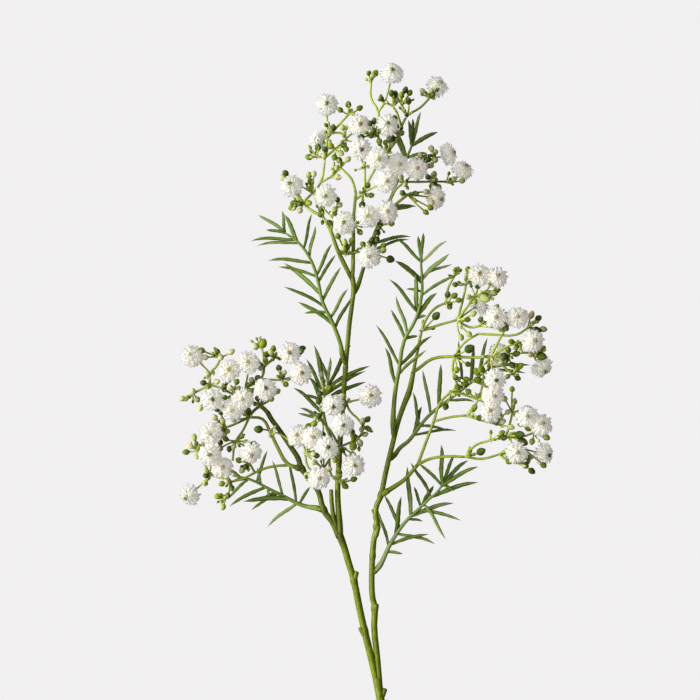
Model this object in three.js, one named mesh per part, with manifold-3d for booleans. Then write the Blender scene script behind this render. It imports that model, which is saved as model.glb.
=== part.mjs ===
// A gypsophila stem: one stalk that forks in two, seven leafy sprigs, five sprays of thin branchlets with
// their buds, and the white flower heads that sit on the branchlet ends.
// It lies on its back. Millimetres, +Y along the stem towards the top, +Z up, the surface at z = 0.
// In the tables x is measured from the trunk where it forks, y from the cut end, and z from the surface.

import * as THREE from 'three';
import { mergeVertices } from 'three/addons/utils/BufferGeometryUtils.js';
import Module from 'manifold-3d';

const wasm = await Module();
wasm.setup();

// Flower heads: a burr of spikes round a core, flattened from front to back.
const headTip = 6.5;
const headValley = 4.1;
const headFlattening = 0.86;
const headSink = 0.25;
const bridgeRadius = 1.5;

// The clearance between a head and the branchlet that it sits on.
const seatGap = 0.3;

// The stem turns its flat side up, apart from the shoots that climb steeply from their first row.
const steepClimb = 3;
const nearlyUpright = 0.7;

// Branchlets and buds.
const twigRadius = 0.5;
const budTwigRadius = 0.44;
const rootReach = 1.5;
const rootSink = 0.5;
const rootSpread = 0.72;
const rootShare = 0.62;
const rootRadius = 0.34;
const rootPoint = 0.25;
const neckLength = 1.8;
const budRadius = 1.95;
const budLength = 4.4;
const budSpread = 0.24;
const budShoulder = 0.1;
const goldenShare = 0.618;

// Leaves: narrow blades with a lens section.
const bladeHeight = 0.62;
const bladeBelly = 0.42;
const bladeRoot = 0.24;
const bladeRootHeight = 0.238;
const bladeArch = 0.05;
const bladeLift = 0.2;
const goldenAngle = 2.4;

// Resolution of the faceted solids.
const stemSides = 7;
const stalkSides = 4;
const twigSides = 3;
const budSides = 4;
const bladeSides = 3;
const fuseTolerance = 0.05;
const weldReach = 1e-4;
const sameReach = 0.01;

// The block below the surface, which flattens what dips into it.
const groundWidth = 500;
const groundLength = 700;
const groundDepth = 20;
const groundMargin = 100;

const colours = {
  stem: 0x5d7328,
  leaf: 0x2f6325,
  spray: 0x86a832,
  head: 0xf1eee6,
};

const finishes = {};
for (const [name, colour] of Object.entries(colours)) {
  finishes[name] = new THREE.MeshStandardMaterial({
    color: colour,
    roughness: 0.6,
    metalness: 0,
    flatShading: true,
  });
}

const point = ([x, y, z]) => new THREE.Vector3(x, y, z);
const upwards = new THREE.Vector3(0, 0, 1);
const alongStem = new THREE.Vector3(0, 1, 0);

// ---------------------------------------------------------------- solids

// Turns a closed three.js geometry into a solid that can be joined and cut.
function toSolid(geometry) {
  const bare = geometry.clone();
  bare.deleteAttribute('normal');
  bare.deleteAttribute('uv');
  const merged = mergeVertices(bare, weldReach);
  const corners = merged.index.array;
  const triangles = [];
  for (let i = 0; i < corners.length; i += 3) {
    const [a, b, c] = corners.slice(i, i + 3);
    if (a !== b && b !== c && c !== a) {
      triangles.push(a, b, c);
    }
  }
  return new wasm.Manifold(new wasm.Mesh({
    numProp: 3,
    vertProperties: merged.attributes.position.array,
    triVerts: new Uint32Array(triangles),
  }));
}

// Joins solids that run into each other and keeps the one body they make.
function fuse(solids) {
  const joined = wasm.Manifold.union(solids).asOriginal().simplify(fuseTolerance);
  const bodies = joined.decompose();
  bodies.sort((a, b) => b.volume() - a.volume());
  return bodies[0];
}

function toGeometry(solid) {
  const mesh = solid.getMesh();
  const geometry = new THREE.BufferGeometry();
  geometry.setAttribute('position', new THREE.BufferAttribute(new Float32Array(mesh.vertProperties), 3));
  geometry.setIndex(new THREE.BufferAttribute(new Uint32Array(mesh.triVerts), 1));
  geometry.computeVertexNormals();
  return geometry;
}

// The surface that the stem lies on, as the block below it.
const groundGeometry = new THREE.BoxGeometry(groundWidth, groundLength, groundDepth);
groundGeometry.translate(0, groundLength / 2 - groundMargin, -groundDepth / 2);
const ground = toSolid(groundGeometry);

// Bends a closed cylinder through centres, with a half thickness and a half width at each of them.
// up, where given, is the side that the thickness is measured towards.
function sweep(centres, sizes, sides, up) {
  const last = centres.length - 1;
  const tangents = centres.map((centre, i) => {
    return centres[Math.min(i + 1, last)].clone().sub(centres[Math.max(i - 1, 0)]).normalize();
  });
  const across = Math.abs(tangents[0].z) > nearlyUpright ? alongStem : upwards;
  const normals = [];
  tangents.forEach((tangent, i) => {
    const normal = (up ?? normals[i - 1] ?? across).clone();
    normals.push(normal.addScaledVector(tangent, -normal.dot(tangent)).normalize());
  });
  const geometry = new THREE.CylinderGeometry(1, 1, 1, sides, last);
  const position = geometry.attributes.position;
  for (let i = 0; i < position.count; i += 1) {
    const ring = Math.round((position.getY(i) + 0.5) * last);
    const width = new THREE.Vector3().crossVectors(tangents[ring], normals[ring]);
    const corner = centres[ring].clone();
    corner.addScaledVector(normals[ring], position.getZ(i) * sizes[ring][0]);
    corner.addScaledVector(width, position.getX(i) * sizes[ring][1]);
    position.setXYZ(i, corner.x, corner.y, corner.z);
  }
  return toSolid(geometry);
}

// A round stalk through centres, evenly tapered from one radius to another.
function stalk(centres, startRadius, endRadius, sides) {
  const sizes = centres.map((centre, i) => {
    const radius = THREE.MathUtils.lerp(startRadius, endRadius, i / (centres.length - 1));
    return [radius, radius];
  });
  return sweep(centres, sizes, sides);
}

// A limb of the stem: rows of x, y, z and radius. Collars and swellings are in the radii.
function limb(rows, sides) {
  const sizes = rows.map((row) => [row[3], row[3]]);
  const climb = Math.abs(rows[1][2] - rows[0][2]);
  return sweep(rows.map(point), sizes, sides, climb > steepClimb ? undefined : upwards);
}

// ---------------------------------------------------------------- stem

const stemLimbs = {
  trunk: [
    [12, 0, 1.9, 2.48], [9.5, 30, 1.9, 2.43], [6.3, 65, 2.05, 2.43], [2.4, 100, 3.3, 2.48],
    [0.3, 119, 4.6, 2.54], [-1.6, 130, 5.6, 2.7],
  ],
  leftBranch: [
    [-1.2, 126, 5.2, 2.05], [-4.2, 139, 7, 2.11], [-6.8, 150, 8.6, 2.16], [-9.2, 160, 10.2, 2.2],
    [-11.7, 171, 11.8, 2.05], [-15.6, 190, 15, 2.16], [-18.8, 201, 16.8, 2], [-21.7, 211, 18.2, 2.05],
    [-24.4, 218, 19.3, 2.38],
  ],
  rightBranch: [
    [0, 124, 5, 1.94], [-1.4, 142, 7.2, 1.84], [-3.4, 163, 9.6, 1.89], [-3.2, 173, 10.8, 2.05],
    [-4.4, 180, 11.8, 1.78], [-4.9, 192, 13.2, 1.73], [-4.4, 205, 14.8, 1.89], [-3.4, 216, 16.2, 1.73],
    [-2, 223, 17.2, 2.05], [-2.6, 229, 18, 1.67], [-1.8, 236, 18.8, 1.62], [0.6, 242, 19.6, 1.89],
    [3.4, 255, 21.4, 1.57], [7.7, 273, 23.8, 1.51], [10.9, 286, 25.4, 1.57], [14.2, 295.5, 26.4, 1.57],
    [17.3, 303.2, 27, 1.89],
  ],
  upright: [
    [-24, 216, 19, 2.05], [-24.2, 224, 20.2, 1.94], [-25, 234, 21.6, 1.73], [-25.4, 246, 23, 1.67],
    [-24.6, 262, 25, 1.73], [-24.1, 272, 26, 1.67], [-21.8, 303, 27.6, 1.51], [-20.7, 318, 28, 1.57],
    [-19.3, 334, 28.4, 1.4], [-18.3, 345, 28.8, 1.4], [-16.6, 358, 29.4, 1.35], [-15.8, 367, 29.8, 1.46],
    [-16.6, 372.5, 30, 1.62],
  ],
  uprightTip: [[-16.7, 371.7, 30, 1.24], [-16.3, 377, 30.5, 1.24], [-16.2, 383.5, 31, 1.3]],
  leftTip: [[-16.4, 370.6, 29.9, 1.35], [-20.4, 378.5, 31, 1.35], [-23.7, 385, 31.5, 1.4]],
  sideLimb: [
    [-24.4, 216.5, 19.2, 2.05], [-28.8, 226, 20.3, 1.84], [-33.6, 233, 21, 1.94], [-37.2, 244.5, 21.8, 1.67],
    [-42.6, 251.5, 22.2, 1.62], [-46.6, 257.5, 22.6, 1.89], [-49.2, 264, 23, 1.62], [-53.7, 271, 23.4, 1.51],
    [-60.8, 281.5, 24, 1.46], [-65.2, 287.4, 24.2, 1.51], [-67.4, 291.4, 24.2, 1.51],
  ],
};

// Short stubs where shoots were cut away, and the spurs that the sprigs and sprays grow from.
const stemStubs = [
  [[0.8, 118.6, 4.8, 1.7], [3.2, 124.6, 5.4, 1.4]],
  [[-8.4, 155.4, 9.8, 1.8], [-11.6, 161.8, 11, 1.7]],
  [[-16.2, 188, 15, 1.75], [-14, 195.4, 16.4, 1.45]],
  [[-3.6, 167.6, 10.4, 1.85], [-2.1, 175.8, 11.8, 1.6]],
  [[-2.9, 215, 16.6, 1.65], [-0.9, 223, 18, 1.45]],
  [[-2.4, 229, 18, 1.2], [-4.5, 232.8, 18.6, 0.85]],
  [[-25.5, 219, 19.4, 1.6], [-28.4, 232, 22.4, 1.35], [-29.4, 244.8, 25.6, 1.25]],
  [[-53.2, 270.5, 23.4, 1], [-51.6, 274, 27.4, 1.5], [-51.8, 276.5, 28.6, 0.5]],
];

const spurs = {
  lowerLeft: [[-33.6, 232.6, 21, 1.5], [-37.6, 233.8, 17.6, 1.2]],
  leftSpray: [[-46.6, 257.5, 22.6, 1.6], [-50.6, 258.6, 23.6, 1.4]],
  centreSpray: [[-24.4, 268, 25.6, 1.4], [-24.3, 270, 30.4, 1.2]],
  behindCentre: [[-24.8, 262, 25, 1.3], [-26.2, 265.5, 19.8, 1.1]],
  upperLeft: [[-20.6, 320, 28, 1.3], [-22.6, 326.4, 32.2, 1.1]],
  topLeaves: [[-16.2, 362, 29.5, 1.2], [-13.6, 366.8, 25.4, 1]],
  tallLeaves: [[8.3, 276, 24.2, 1.3], [8, 284.5, 29.6, 1.1]],
  rightLeaves: [[5.4, 263, 22.4, 1.3], [8.8, 265.6, 17.4, 1.1]],
  lowerRight: [[-4.8, 194, 13.4, 1.4], [-0.6, 198.6, 13.2, 1.1]],
  rightLowSpray: [[0.4, 241.5, 19.6, 1.5], [5, 244.6, 21, 1.4]],
};

function makeStem() {
  const limbs = Object.values(stemLimbs).map((rows) => limb(rows, stemSides));
  const shoots = [...stemStubs, ...Object.values(spurs)].map((rows) => limb(rows, stalkSides));
  return fuse([...limbs, ...shoots]).subtract(ground);
}

// ---------------------------------------------------------------- leafy sprigs

// A sprig's axis, its radius at both ends, and its leaves: root x and y, tip x and y, half width.
const sprigs = {
  leaves_upper_left: {
    radii: [1.1, 0.55],
    axis: [
      [-22.8, 327, 32.6], [-23.6, 332, 34], [-28.8, 346, 35.6], [-34.2, 357, 36.2], [-38.1, 374, 36.4],
      [-42.6, 385, 36], [-50, 394.4, 34.5], [-56.8, 399, 33],
    ],
    leaves: [
      [-57, 398.6, -73.2, 410, 1], [-57, 398, -68.4, 401, 0.9], [-58, 398, -58.8, 412.4, 0.9],
      [-50.4, 393.2, -57, 410, 1.2], [-54, 390.2, -77.4, 394.4, 1], [-51.6, 390.8, -73.8, 391.4, 0.9],
      [-46.2, 389, -40.8, 410.6, 0.9], [-42, 384.2, -38.8, 403.4, 1], [-42.6, 380.6, -67.2, 382.4, 1],
      [-38.4, 372.8, -61.2, 378.8, 0.9], [-35.4, 362, -57.6, 381.2, 1.3], [-36.6, 374, -28.8, 392.6, 1],
      [-33, 370.4, -26.6, 386, 0.9], [-31.2, 359, -23.4, 378.8, 1], [-33, 354.2, -57.6, 366.8, 1],
      [-29.4, 343.4, -49.2, 357.8, 1.3], [-34, 350, -45.6, 351, 0.8], [-28.2, 348.8, -19.2, 365.6, 1],
      [-25.2, 342.2, -17.4, 360.2, 1],
    ],
  },
  leaves_behind_centre: {
    radii: [1, 0.5],
    axis: [[-26.4, 266, 19.2], [-28, 272, 17], [-33, 286, 16], [-34, 299, 16.4], [-30.6, 308.6, 17]],
    leaves: [
      [-30.6, 308.6, -17.4, 332, 1.3], [-33, 303.6, -39.6, 332, 1.3], [-31, 308, -37.2, 327.6, 1],
      [-31.2, 307, -29.8, 324.8, 1], [-34, 301, -44.4, 323.6, 1], [-31, 306, -6, 319.4, 1.2],
      [-33.6, 302, -8.4, 316.4, 1], [-34, 298, -8.4, 309.8, 1.2], [-34, 297, -42.6, 312.8, 1.2],
      [-34, 299, -46.5, 301.4, 0.9], [-33.6, 290, -52.2, 306.2, 1.1], [-33, 286, -48.3, 294.2, 1],
      [-33, 285, -49.5, 291, 0.9],
    ],
  },
  leaves_lower_left: {
    radii: [1.2, 0.5],
    axis: [
      [-37.9, 233.9, 17.2], [-43, 234.6, 14.6], [-48, 236, 13.6], [-58.8, 241.4, 12.6], [-67.2, 245.6, 12.2],
      [-78, 251, 12], [-88.8, 253.4, 12],
    ],
    leaves: [
      [-51.6, 233, -67.8, 222.2, 1], [-54.6, 237.8, -82.2, 237.8, 1.4], [-61.8, 241.4, -77.7, 232.4, 0.9],
      [-69.6, 244.4, -90.6, 234.8, 1.1], [-79.2, 249.8, -91.8, 239, 0.9], [-81, 248.6, -88.8, 249.8, 0.9],
      [-50.4, 237.2, -54.6, 261.8, 0.9], [-57.6, 242.6, -64.8, 262.4, 0.9], [-48, 237.2, -42, 246.8, 0.9],
      [-70.8, 249.2, -73.8, 258.2, 0.9], [-73.8, 250, -67.8, 268.4, 0.9], [-67.8, 245, -66.6, 239.6, 0.8],
      [-62, 243, -70, 240, 0.9], [-84, 252, -93, 258, 0.9],
    ],
  },
  leaves_tall: {
    radii: [1.2, 0.5],
    axis: [
      [7.9, 285, 30], [8.2, 294, 33], [9.6, 307.4, 34.6], [11.4, 317, 35], [14.4, 334.4, 35.4],
      [21.5, 347.6, 36], [25, 362, 36], [25.2, 371.6, 36], [24.6, 381.2, 35.6], [25.2, 388, 35.4],
    ],
    leaves: [
      [24.6, 382.4, 22.8, 397.4, 1.1], [25.2, 386, 25.8, 399.2, 1], [22.8, 381.8, 9, 396.2, 1],
      [25.8, 381.2, 40.2, 394.4, 0.9], [27, 371, 41.4, 386.6, 1.3], [29.4, 373.4, 43.2, 380.3, 0.8],
      [26.1, 361.4, 48.6, 375.2, 0.9], [24, 371, 9, 382.4, 1.1], [20.7, 368.6, 9.6, 381.8, 0.9],
      [23.4, 351.2, 21, 374.6, 1.3], [24, 363.8, 15.6, 365.6, 0.8], [21.9, 351.8, 5.4, 371.3, 1],
      [24.6, 348.5, 34.2, 363.2, 1.4], [22, 348, 27.6, 349.6, 1], [14.4, 338.6, 9.6, 361.4, 1],
      [13.2, 336.2, 6.6, 353.3, 1], [11.1, 319.4, -2.4, 344, 0.9], [9, 308, 3, 330.5, 1.1],
      [13.2, 319.4, 31.2, 337.4, 1.1], [12, 313.4, 27.6, 329, 0.9], [17.4, 334.4, 22.8, 337.4, 0.9],
    ],
  },
  leaves_top: {
    radii: [1, 0.5],
    axis: [
      [-13.4, 367.3, 25], [-10.6, 376, 22.8], [-2.4, 401, 21.4], [5.4, 417.8, 21], [15, 441.8, 20.6],
      [18, 449, 20.4], [19.8, 453.2, 20.4],
    ],
    leaves: [
      [17.4, 452.6, 17.1, 467.3, 1], [18.6, 451.4, 19.6, 468.2, 1.1], [19.8, 453.2, 24.6, 472.4, 1],
      [20.4, 451.4, 34.8, 460, 1.3], [14.4, 444.8, 9.6, 461.6, 1], [12.6, 445.4, 8.4, 457.4, 1],
      [16.2, 444.2, 28.2, 447.4, 1], [6.6, 412.7, 22, 415.4, 1], [6, 410, 19.2, 414.8, 0.9],
      [-2.7, 392, 18.6, 397.1, 1], [-3.6, 387.8, 17.7, 395.3, 0.9],
    ],
  },
  leaves_right: {
    radii: [1.1, 0.5],
    axis: [
      [9.1, 266.1, 16.8], [12, 270, 14.6], [17.4, 274.4, 13.8], [23.8, 282.8, 13.4], [30, 290, 13],
      [40, 298, 12.8], [48, 303.8, 12.6], [57, 311, 12.4], [66, 318, 12.4],
    ],
    leaves: [
      [19.2, 278.6, 25.2, 295, 1.3], [22.8, 284, 19.8, 303.8, 0.9], [29, 292.4, 25.8, 317, 1],
      [34.8, 295.4, 36.6, 320.6, 1.2], [24.6, 282.8, 38.8, 281.6, 0.9], [20.4, 277.4, 46.2, 280.4, 0.9],
      [42, 298, 57, 297.8, 0.9], [54.4, 309, 57, 330.2, 1.2], [48.6, 306, 47.4, 335, 0.9],
      [58.5, 313, 64.8, 336.2, 1], [66, 318, 67.2, 332, 0.9], [66, 318, 74.1, 332, 0.9],
      [66, 318, 90.6, 320, 1], [63.6, 316, 88, 315, 0.9],
    ],
  },
  leaves_lower_right: {
    radii: [1.2, 0.5],
    axis: [
      [-0.3, 198.9, 13.2], [2, 203, 13.2], [4.8, 209.3, 13], [9.4, 217.4, 12.6], [15.6, 225.8, 12.2],
      [22.8, 232.7, 11.8], [29.4, 239, 11.4], [35.4, 244.4, 11.2], [38.2, 249.6, 11.2],
    ],
    leaves: [
      [4.2, 210.8, -1.2, 233, 1], [7.2, 218, 12.9, 240.8, 1.3], [10.8, 222.2, 2.4, 242, 1],
      [4.2, 207.2, 13.8, 206.3, 0.9], [7.2, 210.8, 29.4, 218, 1], [11.4, 217.4, 33.3, 212, 1],
      [17.4, 230, 16.6, 258.8, 1.4], [19.8, 227.6, 44.4, 236.6, 1.3], [24, 231.2, 48.6, 226.4, 1],
      [24, 235.4, 20.4, 246.8, 0.9], [24.6, 236, 32.4, 247.4, 1.2], [27, 235.4, 39.6, 215, 1],
      [29.4, 241.4, 18.6, 261.2, 1], [31.8, 239.6, 59.1, 249.2, 1.3], [36, 246.8, 59.1, 258.8, 1.2],
      [35.4, 248.6, 23.4, 260.6, 1], [36.6, 249.2, 36.9, 272, 1.3], [38, 249.6, 45, 266, 1],
      [37.2, 249, 53.2, 262.4, 1.2], [38.4, 247.4, 45, 244.1, 0.9], [18, 225.8, 25.8, 225.8, 0.8],
    ],
  },
};

// The place on a sprig's axis that lies nearest to x, y seen from above.
function nearestOn(points, x, y) {
  const spot = new THREE.Vector3(x, y, 0);
  let nearest = points[0];
  for (let i = 1; i < points.length; i += 1) {
    const flat = new THREE.Line3(points[i - 1].clone().setZ(0), points[i].clone().setZ(0));
    const share = flat.closestPointToPointParameter(spot, true);
    const candidate = points[i - 1].clone().lerp(points[i], share);
    if (Math.hypot(candidate.x - x, candidate.y - y) < Math.hypot(nearest.x - x, nearest.y - y)) {
      nearest = candidate;
    }
  }
  return nearest;
}

function makeBlade(root, tip, halfWidth) {
  const length = root.distanceTo(tip);
  const belly = root.clone().lerp(tip, bladeBelly);
  belly.y += bladeArch * length;
  const sizes = [[bladeRootHeight, halfWidth * bladeRoot], [bladeHeight, halfWidth], [0, 0]];
  return sweep([root, belly, tip], sizes, bladeSides, upwards);
}

function makeSprig({ radii, axis, leaves }) {
  const points = axis.map(point);
  const solids = [stalk(points, radii[0], radii[1], twigSides)];
  leaves.forEach(([rootX, rootY, tipX, tipY, halfWidth], i) => {
    const root = nearestOn(points, rootX, rootY);
    const tip = new THREE.Vector3(tipX, tipY, root.z);
    tip.z += bladeLift * root.distanceTo(tip) * Math.sin(goldenAngle * i);
    solids.push(makeBlade(root, tip, halfWidth));
  });
  return fuse(solids);
}

// ---------------------------------------------------------------- sprays of branchlets, buds and heads

// A stalk row: the radius at both ends, then the places that it runs through.
// A fork: where it stands, the buds that grow from it, and its heads. A head is its middle and the way it
// faces; one marked as resting drops until its lowest spikes lie on the surface.
const sprays = {
  spray_top: {
    stalks: [
      [1.15, 0.8, [-23.9, 385.4, 31.6], [-26.6, 392, 32.4], [-29.4, 400, 32], [-34.5, 408.7, 30.5],
        [-42.5, 413.5, 27.5], [-46.1, 418, 25]],
      [0.7, 0.62, [-46.1, 418, 25], [-40.6, 423.2, 25.5], [-35.6, 429.6, 27], [-33.2, 443, 30],
        [-31.9, 451.7, 31], [-31.6, 456.2, 32]],
      [0.7, 0.62, [-31.6, 456.2, 32], [-25, 463.6, 33], [-19, 470.1, 33]],
      [0.7, 0.62, [-32.8, 444.6, 30.4], [-27, 449.4, 33], [-20.9, 455.2, 35]],
      [0.7, 0.62, [-20.9, 455.2, 35], [-22.8, 458.6, 35.4], [-27.8, 459.2, 35]],
      [0.7, 0.62, [-33, 444.8, 30.2], [-38, 444.8, 30]],
      [0.7, 0.62, [-35.6, 429.6, 27], [-28.2, 433.6, 29]],
      [0.7, 0.62, [-29.4, 400, 32], [-28, 408, 36]],
      [0.9, 0.8, [-25.2, 388.6, 32], [-20.4, 386.6, 31.8], [-16.2, 387.6, 31.4]],
      [1.1, 0.8, [-16.2, 383.9, 31], [-15.9, 395, 32], [-15.9, 406.4, 33], [-14.5, 423.1, 34]],
      [0.75, 0.62, [-14.5, 423.1, 34], [-17.2, 431.6, 35], [-23.7, 438.1, 35]],
      [0.75, 0.62, [-14.9, 419, 33.8], [-10.3, 423.1, 35], [-9.2, 438.1, 38]],
      [0.7, 0.62, [-10.3, 423.1, 35], [-4.4, 435, 37], [3.2, 446.2, 37]],
      [0.7, 0.62, [3.2, 446.2, 37], [9.1, 453.3, 36.4], [11.2, 456.7, 36], [12.9, 463, 35]],
      [0.7, 0.62, [12.9, 463, 35], [7.8, 474.8, 36], [3, 477.3, 37]],
      [0.7, 0.62, [12.9, 463, 35], [16.3, 469.3, 34], [24.2, 474.4, 31], [29.8, 480.3, 29]],
      [0.7, 0.62, [16.3, 469.3, 34], [12.9, 476, 36]],
      [0.7, 0.62, [3.2, 446.2, 37], [-0.8, 455, 36.4], [-1, 468.2, 36], [-1, 471.8, 36], [-5.4, 480, 35],
        [-5.4, 489.5, 34]],
      [0.7, 0.62, [-1, 471.8, 36], [3, 477.3, 37]],
      [0.7, 0.62, [-0.9, 456, 36.4], [-3, 459, 41]],
      [1, 0.8, [-16.2, 387, 31.2], [-8, 392, 31.4], [0, 403, 31], [5, 412, 30.6], [16.6, 422.3, 29]],
      [0.7, 0.62, [-8, 392, 31.4], [-2.2, 386.4, 34]],
      [0.7, 0.62, [5, 412, 30.6], [8.6, 424, 32.4], [15, 429.3, 32], [22.5, 429.8, 30], [30.5, 430.1, 24],
        [40, 430.4, 13]],
      [0.7, 0.62, [22.5, 429.8, 30], [25.9, 439.8, 31], [33, 444.4, 29]],
    ],
    forks: [
      { at: [-31.6, 456.2, 32], heads: [['t03', -31.8, 476, 31, 0, 0.25, 1]], buds: [] },
      { at: [-33.2, 443, 30], heads: [['t20', -36.2, 455.6, 17, -0.6, 0.4, -0.2]],
        buds: [[-33.2, 449.6, 35.4], [-33.4, 445.4, 35]] },
      { at: [-20.9, 455.2, 35], heads: [['t04', -12.4, 463.4, 39, 0.2, 0.3, 1]],
        buds: [[-22.4, 462.4, 37]] },
      { at: [-46.1, 418, 25], heads: [['t14', -52.8, 427.4, 33, -0.35, 0.4, 1]],
        buds: [[-52.3, 417.4, 20], [-53.5, 414.4, 22], [-48, 416.7, 28.6]] },
      { at: [-34.5, 408.7, 30.5], heads: [['t15', -32.6, 421.2, 43, 0, 0, 1]],
        buds: [[-35.4, 413.2, 34.6], [-36.6, 409.2, 34.6]] },
      { at: [-28, 408, 36], heads: [['t16', -21.7, 404.9, 46, -0.05, 0.1, 1]],
        buds: [[-25.4, 418.4, 37.6], [-24, 415, 38], [-28.7, 410.2, 41]] },
      { at: [-20.4, 386.6, 31.8], heads: [],
        buds: [[-25.2, 397.3, 38], [-21.2, 393.8, 39], [-21.7, 389.8, 37]] },
      { at: [-40.6, 423.2, 25.5], heads: [],
        buds: [[-39.6, 434.8, 26.4], [-42.9, 434, 25]] },
      { at: [-28.2, 433.6, 29], heads: [], buds: [[-25.9, 438.3, 30], [-24.6, 432, 31]] },
      { at: [-38, 444.8, 30], heads: [], buds: [[-37.2, 450.6, 32], [-42.7, 444.8, 29]] },
      { at: [-27, 449.4, 33], heads: [],
        buds: [[-29.5, 452.4, 37], [-21.7, 450.7, 38], [-22.6, 447.6, 39]] },
      { at: [-27.8, 459.2, 35], heads: [], buds: [[-31, 459.6, 37], [-28.6, 463, 36]] },
      { at: [-19, 470.1, 33], heads: [], buds: [[-19, 476.2, 34], [-12.6, 474.4, 33.6]] },
      { at: [-23.7, 438.1, 35], heads: [], buds: [[-24.6, 443.3, 35], [-19.2, 442.4, 37]] },
      { at: [-9.2, 438.1, 38],
        heads: [['t06', -12, 449.6, 50, 0.29, -0.24, 1], ['t07', -1.2, 443, 53, 0.15, 0, 1]],
        buds: [] },
      { at: [-10.3, 423.1, 35], heads: [['t12', 3.8, 429.8, 55, 0.1, 0, 1]],
        buds: [[-7.3, 428.6, 40], [-5.3, 421.6, 40], [-11.4, 416.6, 38]] },
      { at: [-15.9, 404, 32.8], heads: [['t17', -7.4, 408.9, 49, 0, 0.1, 1]], buds: [[-12, 399.6, 36]] },
      { at: [3.2, 446.2, 37], heads: [['t08', 10.6, 440.2, 46, 0.3, 0, 0.8]],
        buds: [[7, 451.4, 42], [2.6, 452.2, 43]] },
      { at: [-3, 459, 41], heads: [['t05', 4.4, 463.4, 47, 0.1, 0.3, 1]],
        buds: [[-3.3, 466.2, 45], [-6.4, 462.6, 46.4], [-4.6, 459.3, 47.6]] },
      { at: [11.2, 456.7, 36], heads: [], buds: [[10.8, 466.6, 39.4], [12.9, 459, 41]] },
      { at: [3, 477.3, 37], heads: [['t01', 7.2, 494.6, 36, 0.1, 0.57, 0.8]], buds: [[0.4, 480, 39]] },
      { at: [7.8, 474.8, 36], heads: [], buds: [[7, 482.2, 38.6], [9.6, 481.4, 36]] },
      { at: [12.9, 476, 36], heads: [], buds: [[12.7, 482, 38], [15.4, 484.4, 36], [18.4, 482.4, 35]] },
      { at: [16.3, 469.3, 34], heads: [], buds: [[17.6, 476.8, 37]] },
      { at: [29.8, 480.3, 29], heads: [['t02', 34.2, 487.2, 25, 0.5, 0.6, 0.5]],
        buds: [[25.7, 484.3, 30], [31, 479.6, 33]] },
      { at: [-5.4, 489.5, 34], heads: [], buds: [[-2.6, 494.6, 33.6], [-5.4, 494.4, 36]] },
      { at: [-2.2, 386.4, 34], heads: [['t19', -6.6, 384.8, 46, 0, 0, 1]],
        buds: [[-8.3, 392.6, 40], [-3.4, 395.2, 38], [2.6, 391.1, 37]] },
      { at: [0, 403, 31], heads: [['t18', 4.2, 411.6, 47, 0.1, 0.1, 1]],
        buds: [[7.6, 403.6, 38], [-3, 400.2, 39]] },
      { at: [16.6, 422.3, 29], heads: [['t13', 33.5, 420.2, 24, 0.8, -0.15, 0.5]],
        buds: [[21.4, 423.4, 32], [12.8, 420.6, 33], [26.6, 424.8, 31]] },
      { at: [15, 429.3, 32], heads: [['t09', 22, 437.3, 44, 0.1, 0.1, 1]], buds: [[15.4, 427, 37]] },
      { at: [25.9, 439.8, 31], heads: [],
        buds: [[24.6, 446, 34], [21, 444.4, 35], [28.4, 436.6, 35]] },
      { at: [33, 444.4, 29], heads: [['t10', 40.6, 446.4, 24, 0.85, 0.25, 0.2]],
        buds: [[30.8, 449.9, 31], [34.4, 448.6, 33]] },
      { at: [30.5, 430.1, 24], heads: [], buds: [[29.4, 434, 28], [34.4, 434.4, 24.6], [35.4, 427.8, 20]] },
      { at: [40, 430.4, 13], heads: [['t11', 49.8, 437.2, 'rests', 0.5, 0.6, 0.35]],
        buds: [[43.2, 432.6, 16.4], [47, 428.6, 12]] },
    ],
  },
  spray_left: {
    stalks: [
      [1.25, 0.9, [-67.9, 291.9, 24.5], [-72, 295.5, 26], [-78.5, 299, 28], [-80.8, 306.3, 28.4]],
      [0.7, 0.62, [-80.8, 306.3, 28.4], [-71.6, 311.6, 30], [-69.4, 318.9, 31], [-70.9, 330.3, 31]],
      [0.7, 0.62, [-79.9, 303.4, 28.4], [-87.7, 302.4, 28], [-94, 305.6, 27], [-102.1, 308.2, 26]],
      [0.7, 0.62, [-102.1, 308.2, 26], [-101.9, 315, 27], [-98, 319.4, 27.4], [-95.4, 324.6, 27.6]],
      [0.7, 0.62, [-102.1, 308.2, 26], [-112.2, 302.8, 23]],
      [0.7, 0.62, [-69.4, 318.9, 31], [-63.5, 324.6, 33]],
      [0.7, 0.62, [-71.6, 311.6, 30], [-67.3, 311.2, 30.6], [-58.9, 311, 32.4]],
      [0.9, 0.8, [-72, 295.5, 26], [-76.2, 292.1, 26.4], [-78.5, 288.6, 27]],
      [0.7, 0.62, [-78.5, 288.6, 27], [-89.3, 283.6, 29], [-92.6, 282.6, 29.6]],
      [0.7, 0.62, [-78.5, 288.6, 27], [-82.8, 279.8, 28], [-86.6, 274.4, 28], [-88.5, 262.5, 27]],
      [1.2, 0.75, [-51.05, 258.7, 23.7], [-55.4, 260.6, 25], [-61, 269.6, 26.4], [-66.3, 280.6, 27.6],
        [-70.5, 287.5, 27.6], [-78.5, 288.6, 27]],
      [0.8, 0.62, [-54.2, 259.9, 24.6], [-66.3, 258.7, 27], [-75.1, 255.3, 27.6], [-82, 251.8, 27.6],
        [-89.3, 249.9, 27]],
      [0.7, 0.62, [-75.1, 255.3, 27.6], [-78.5, 261.4, 28]],
      [0.7, 0.62, [-89.3, 249.9, 27], [-91.6, 241.1, 24]],
      [0.7, 0.62, [-89.3, 249.9, 27], [-95, 252.2, 26], [-101.5, 254.5, 25], [-106.1, 262, 26],
        [-109.6, 268.2, 27]],
    ],
    forks: [
      { at: [-72, 295.5, 26], heads: [['l06', -68.6, 305.4, 45, 0.1, 0.24, 1]],
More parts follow.
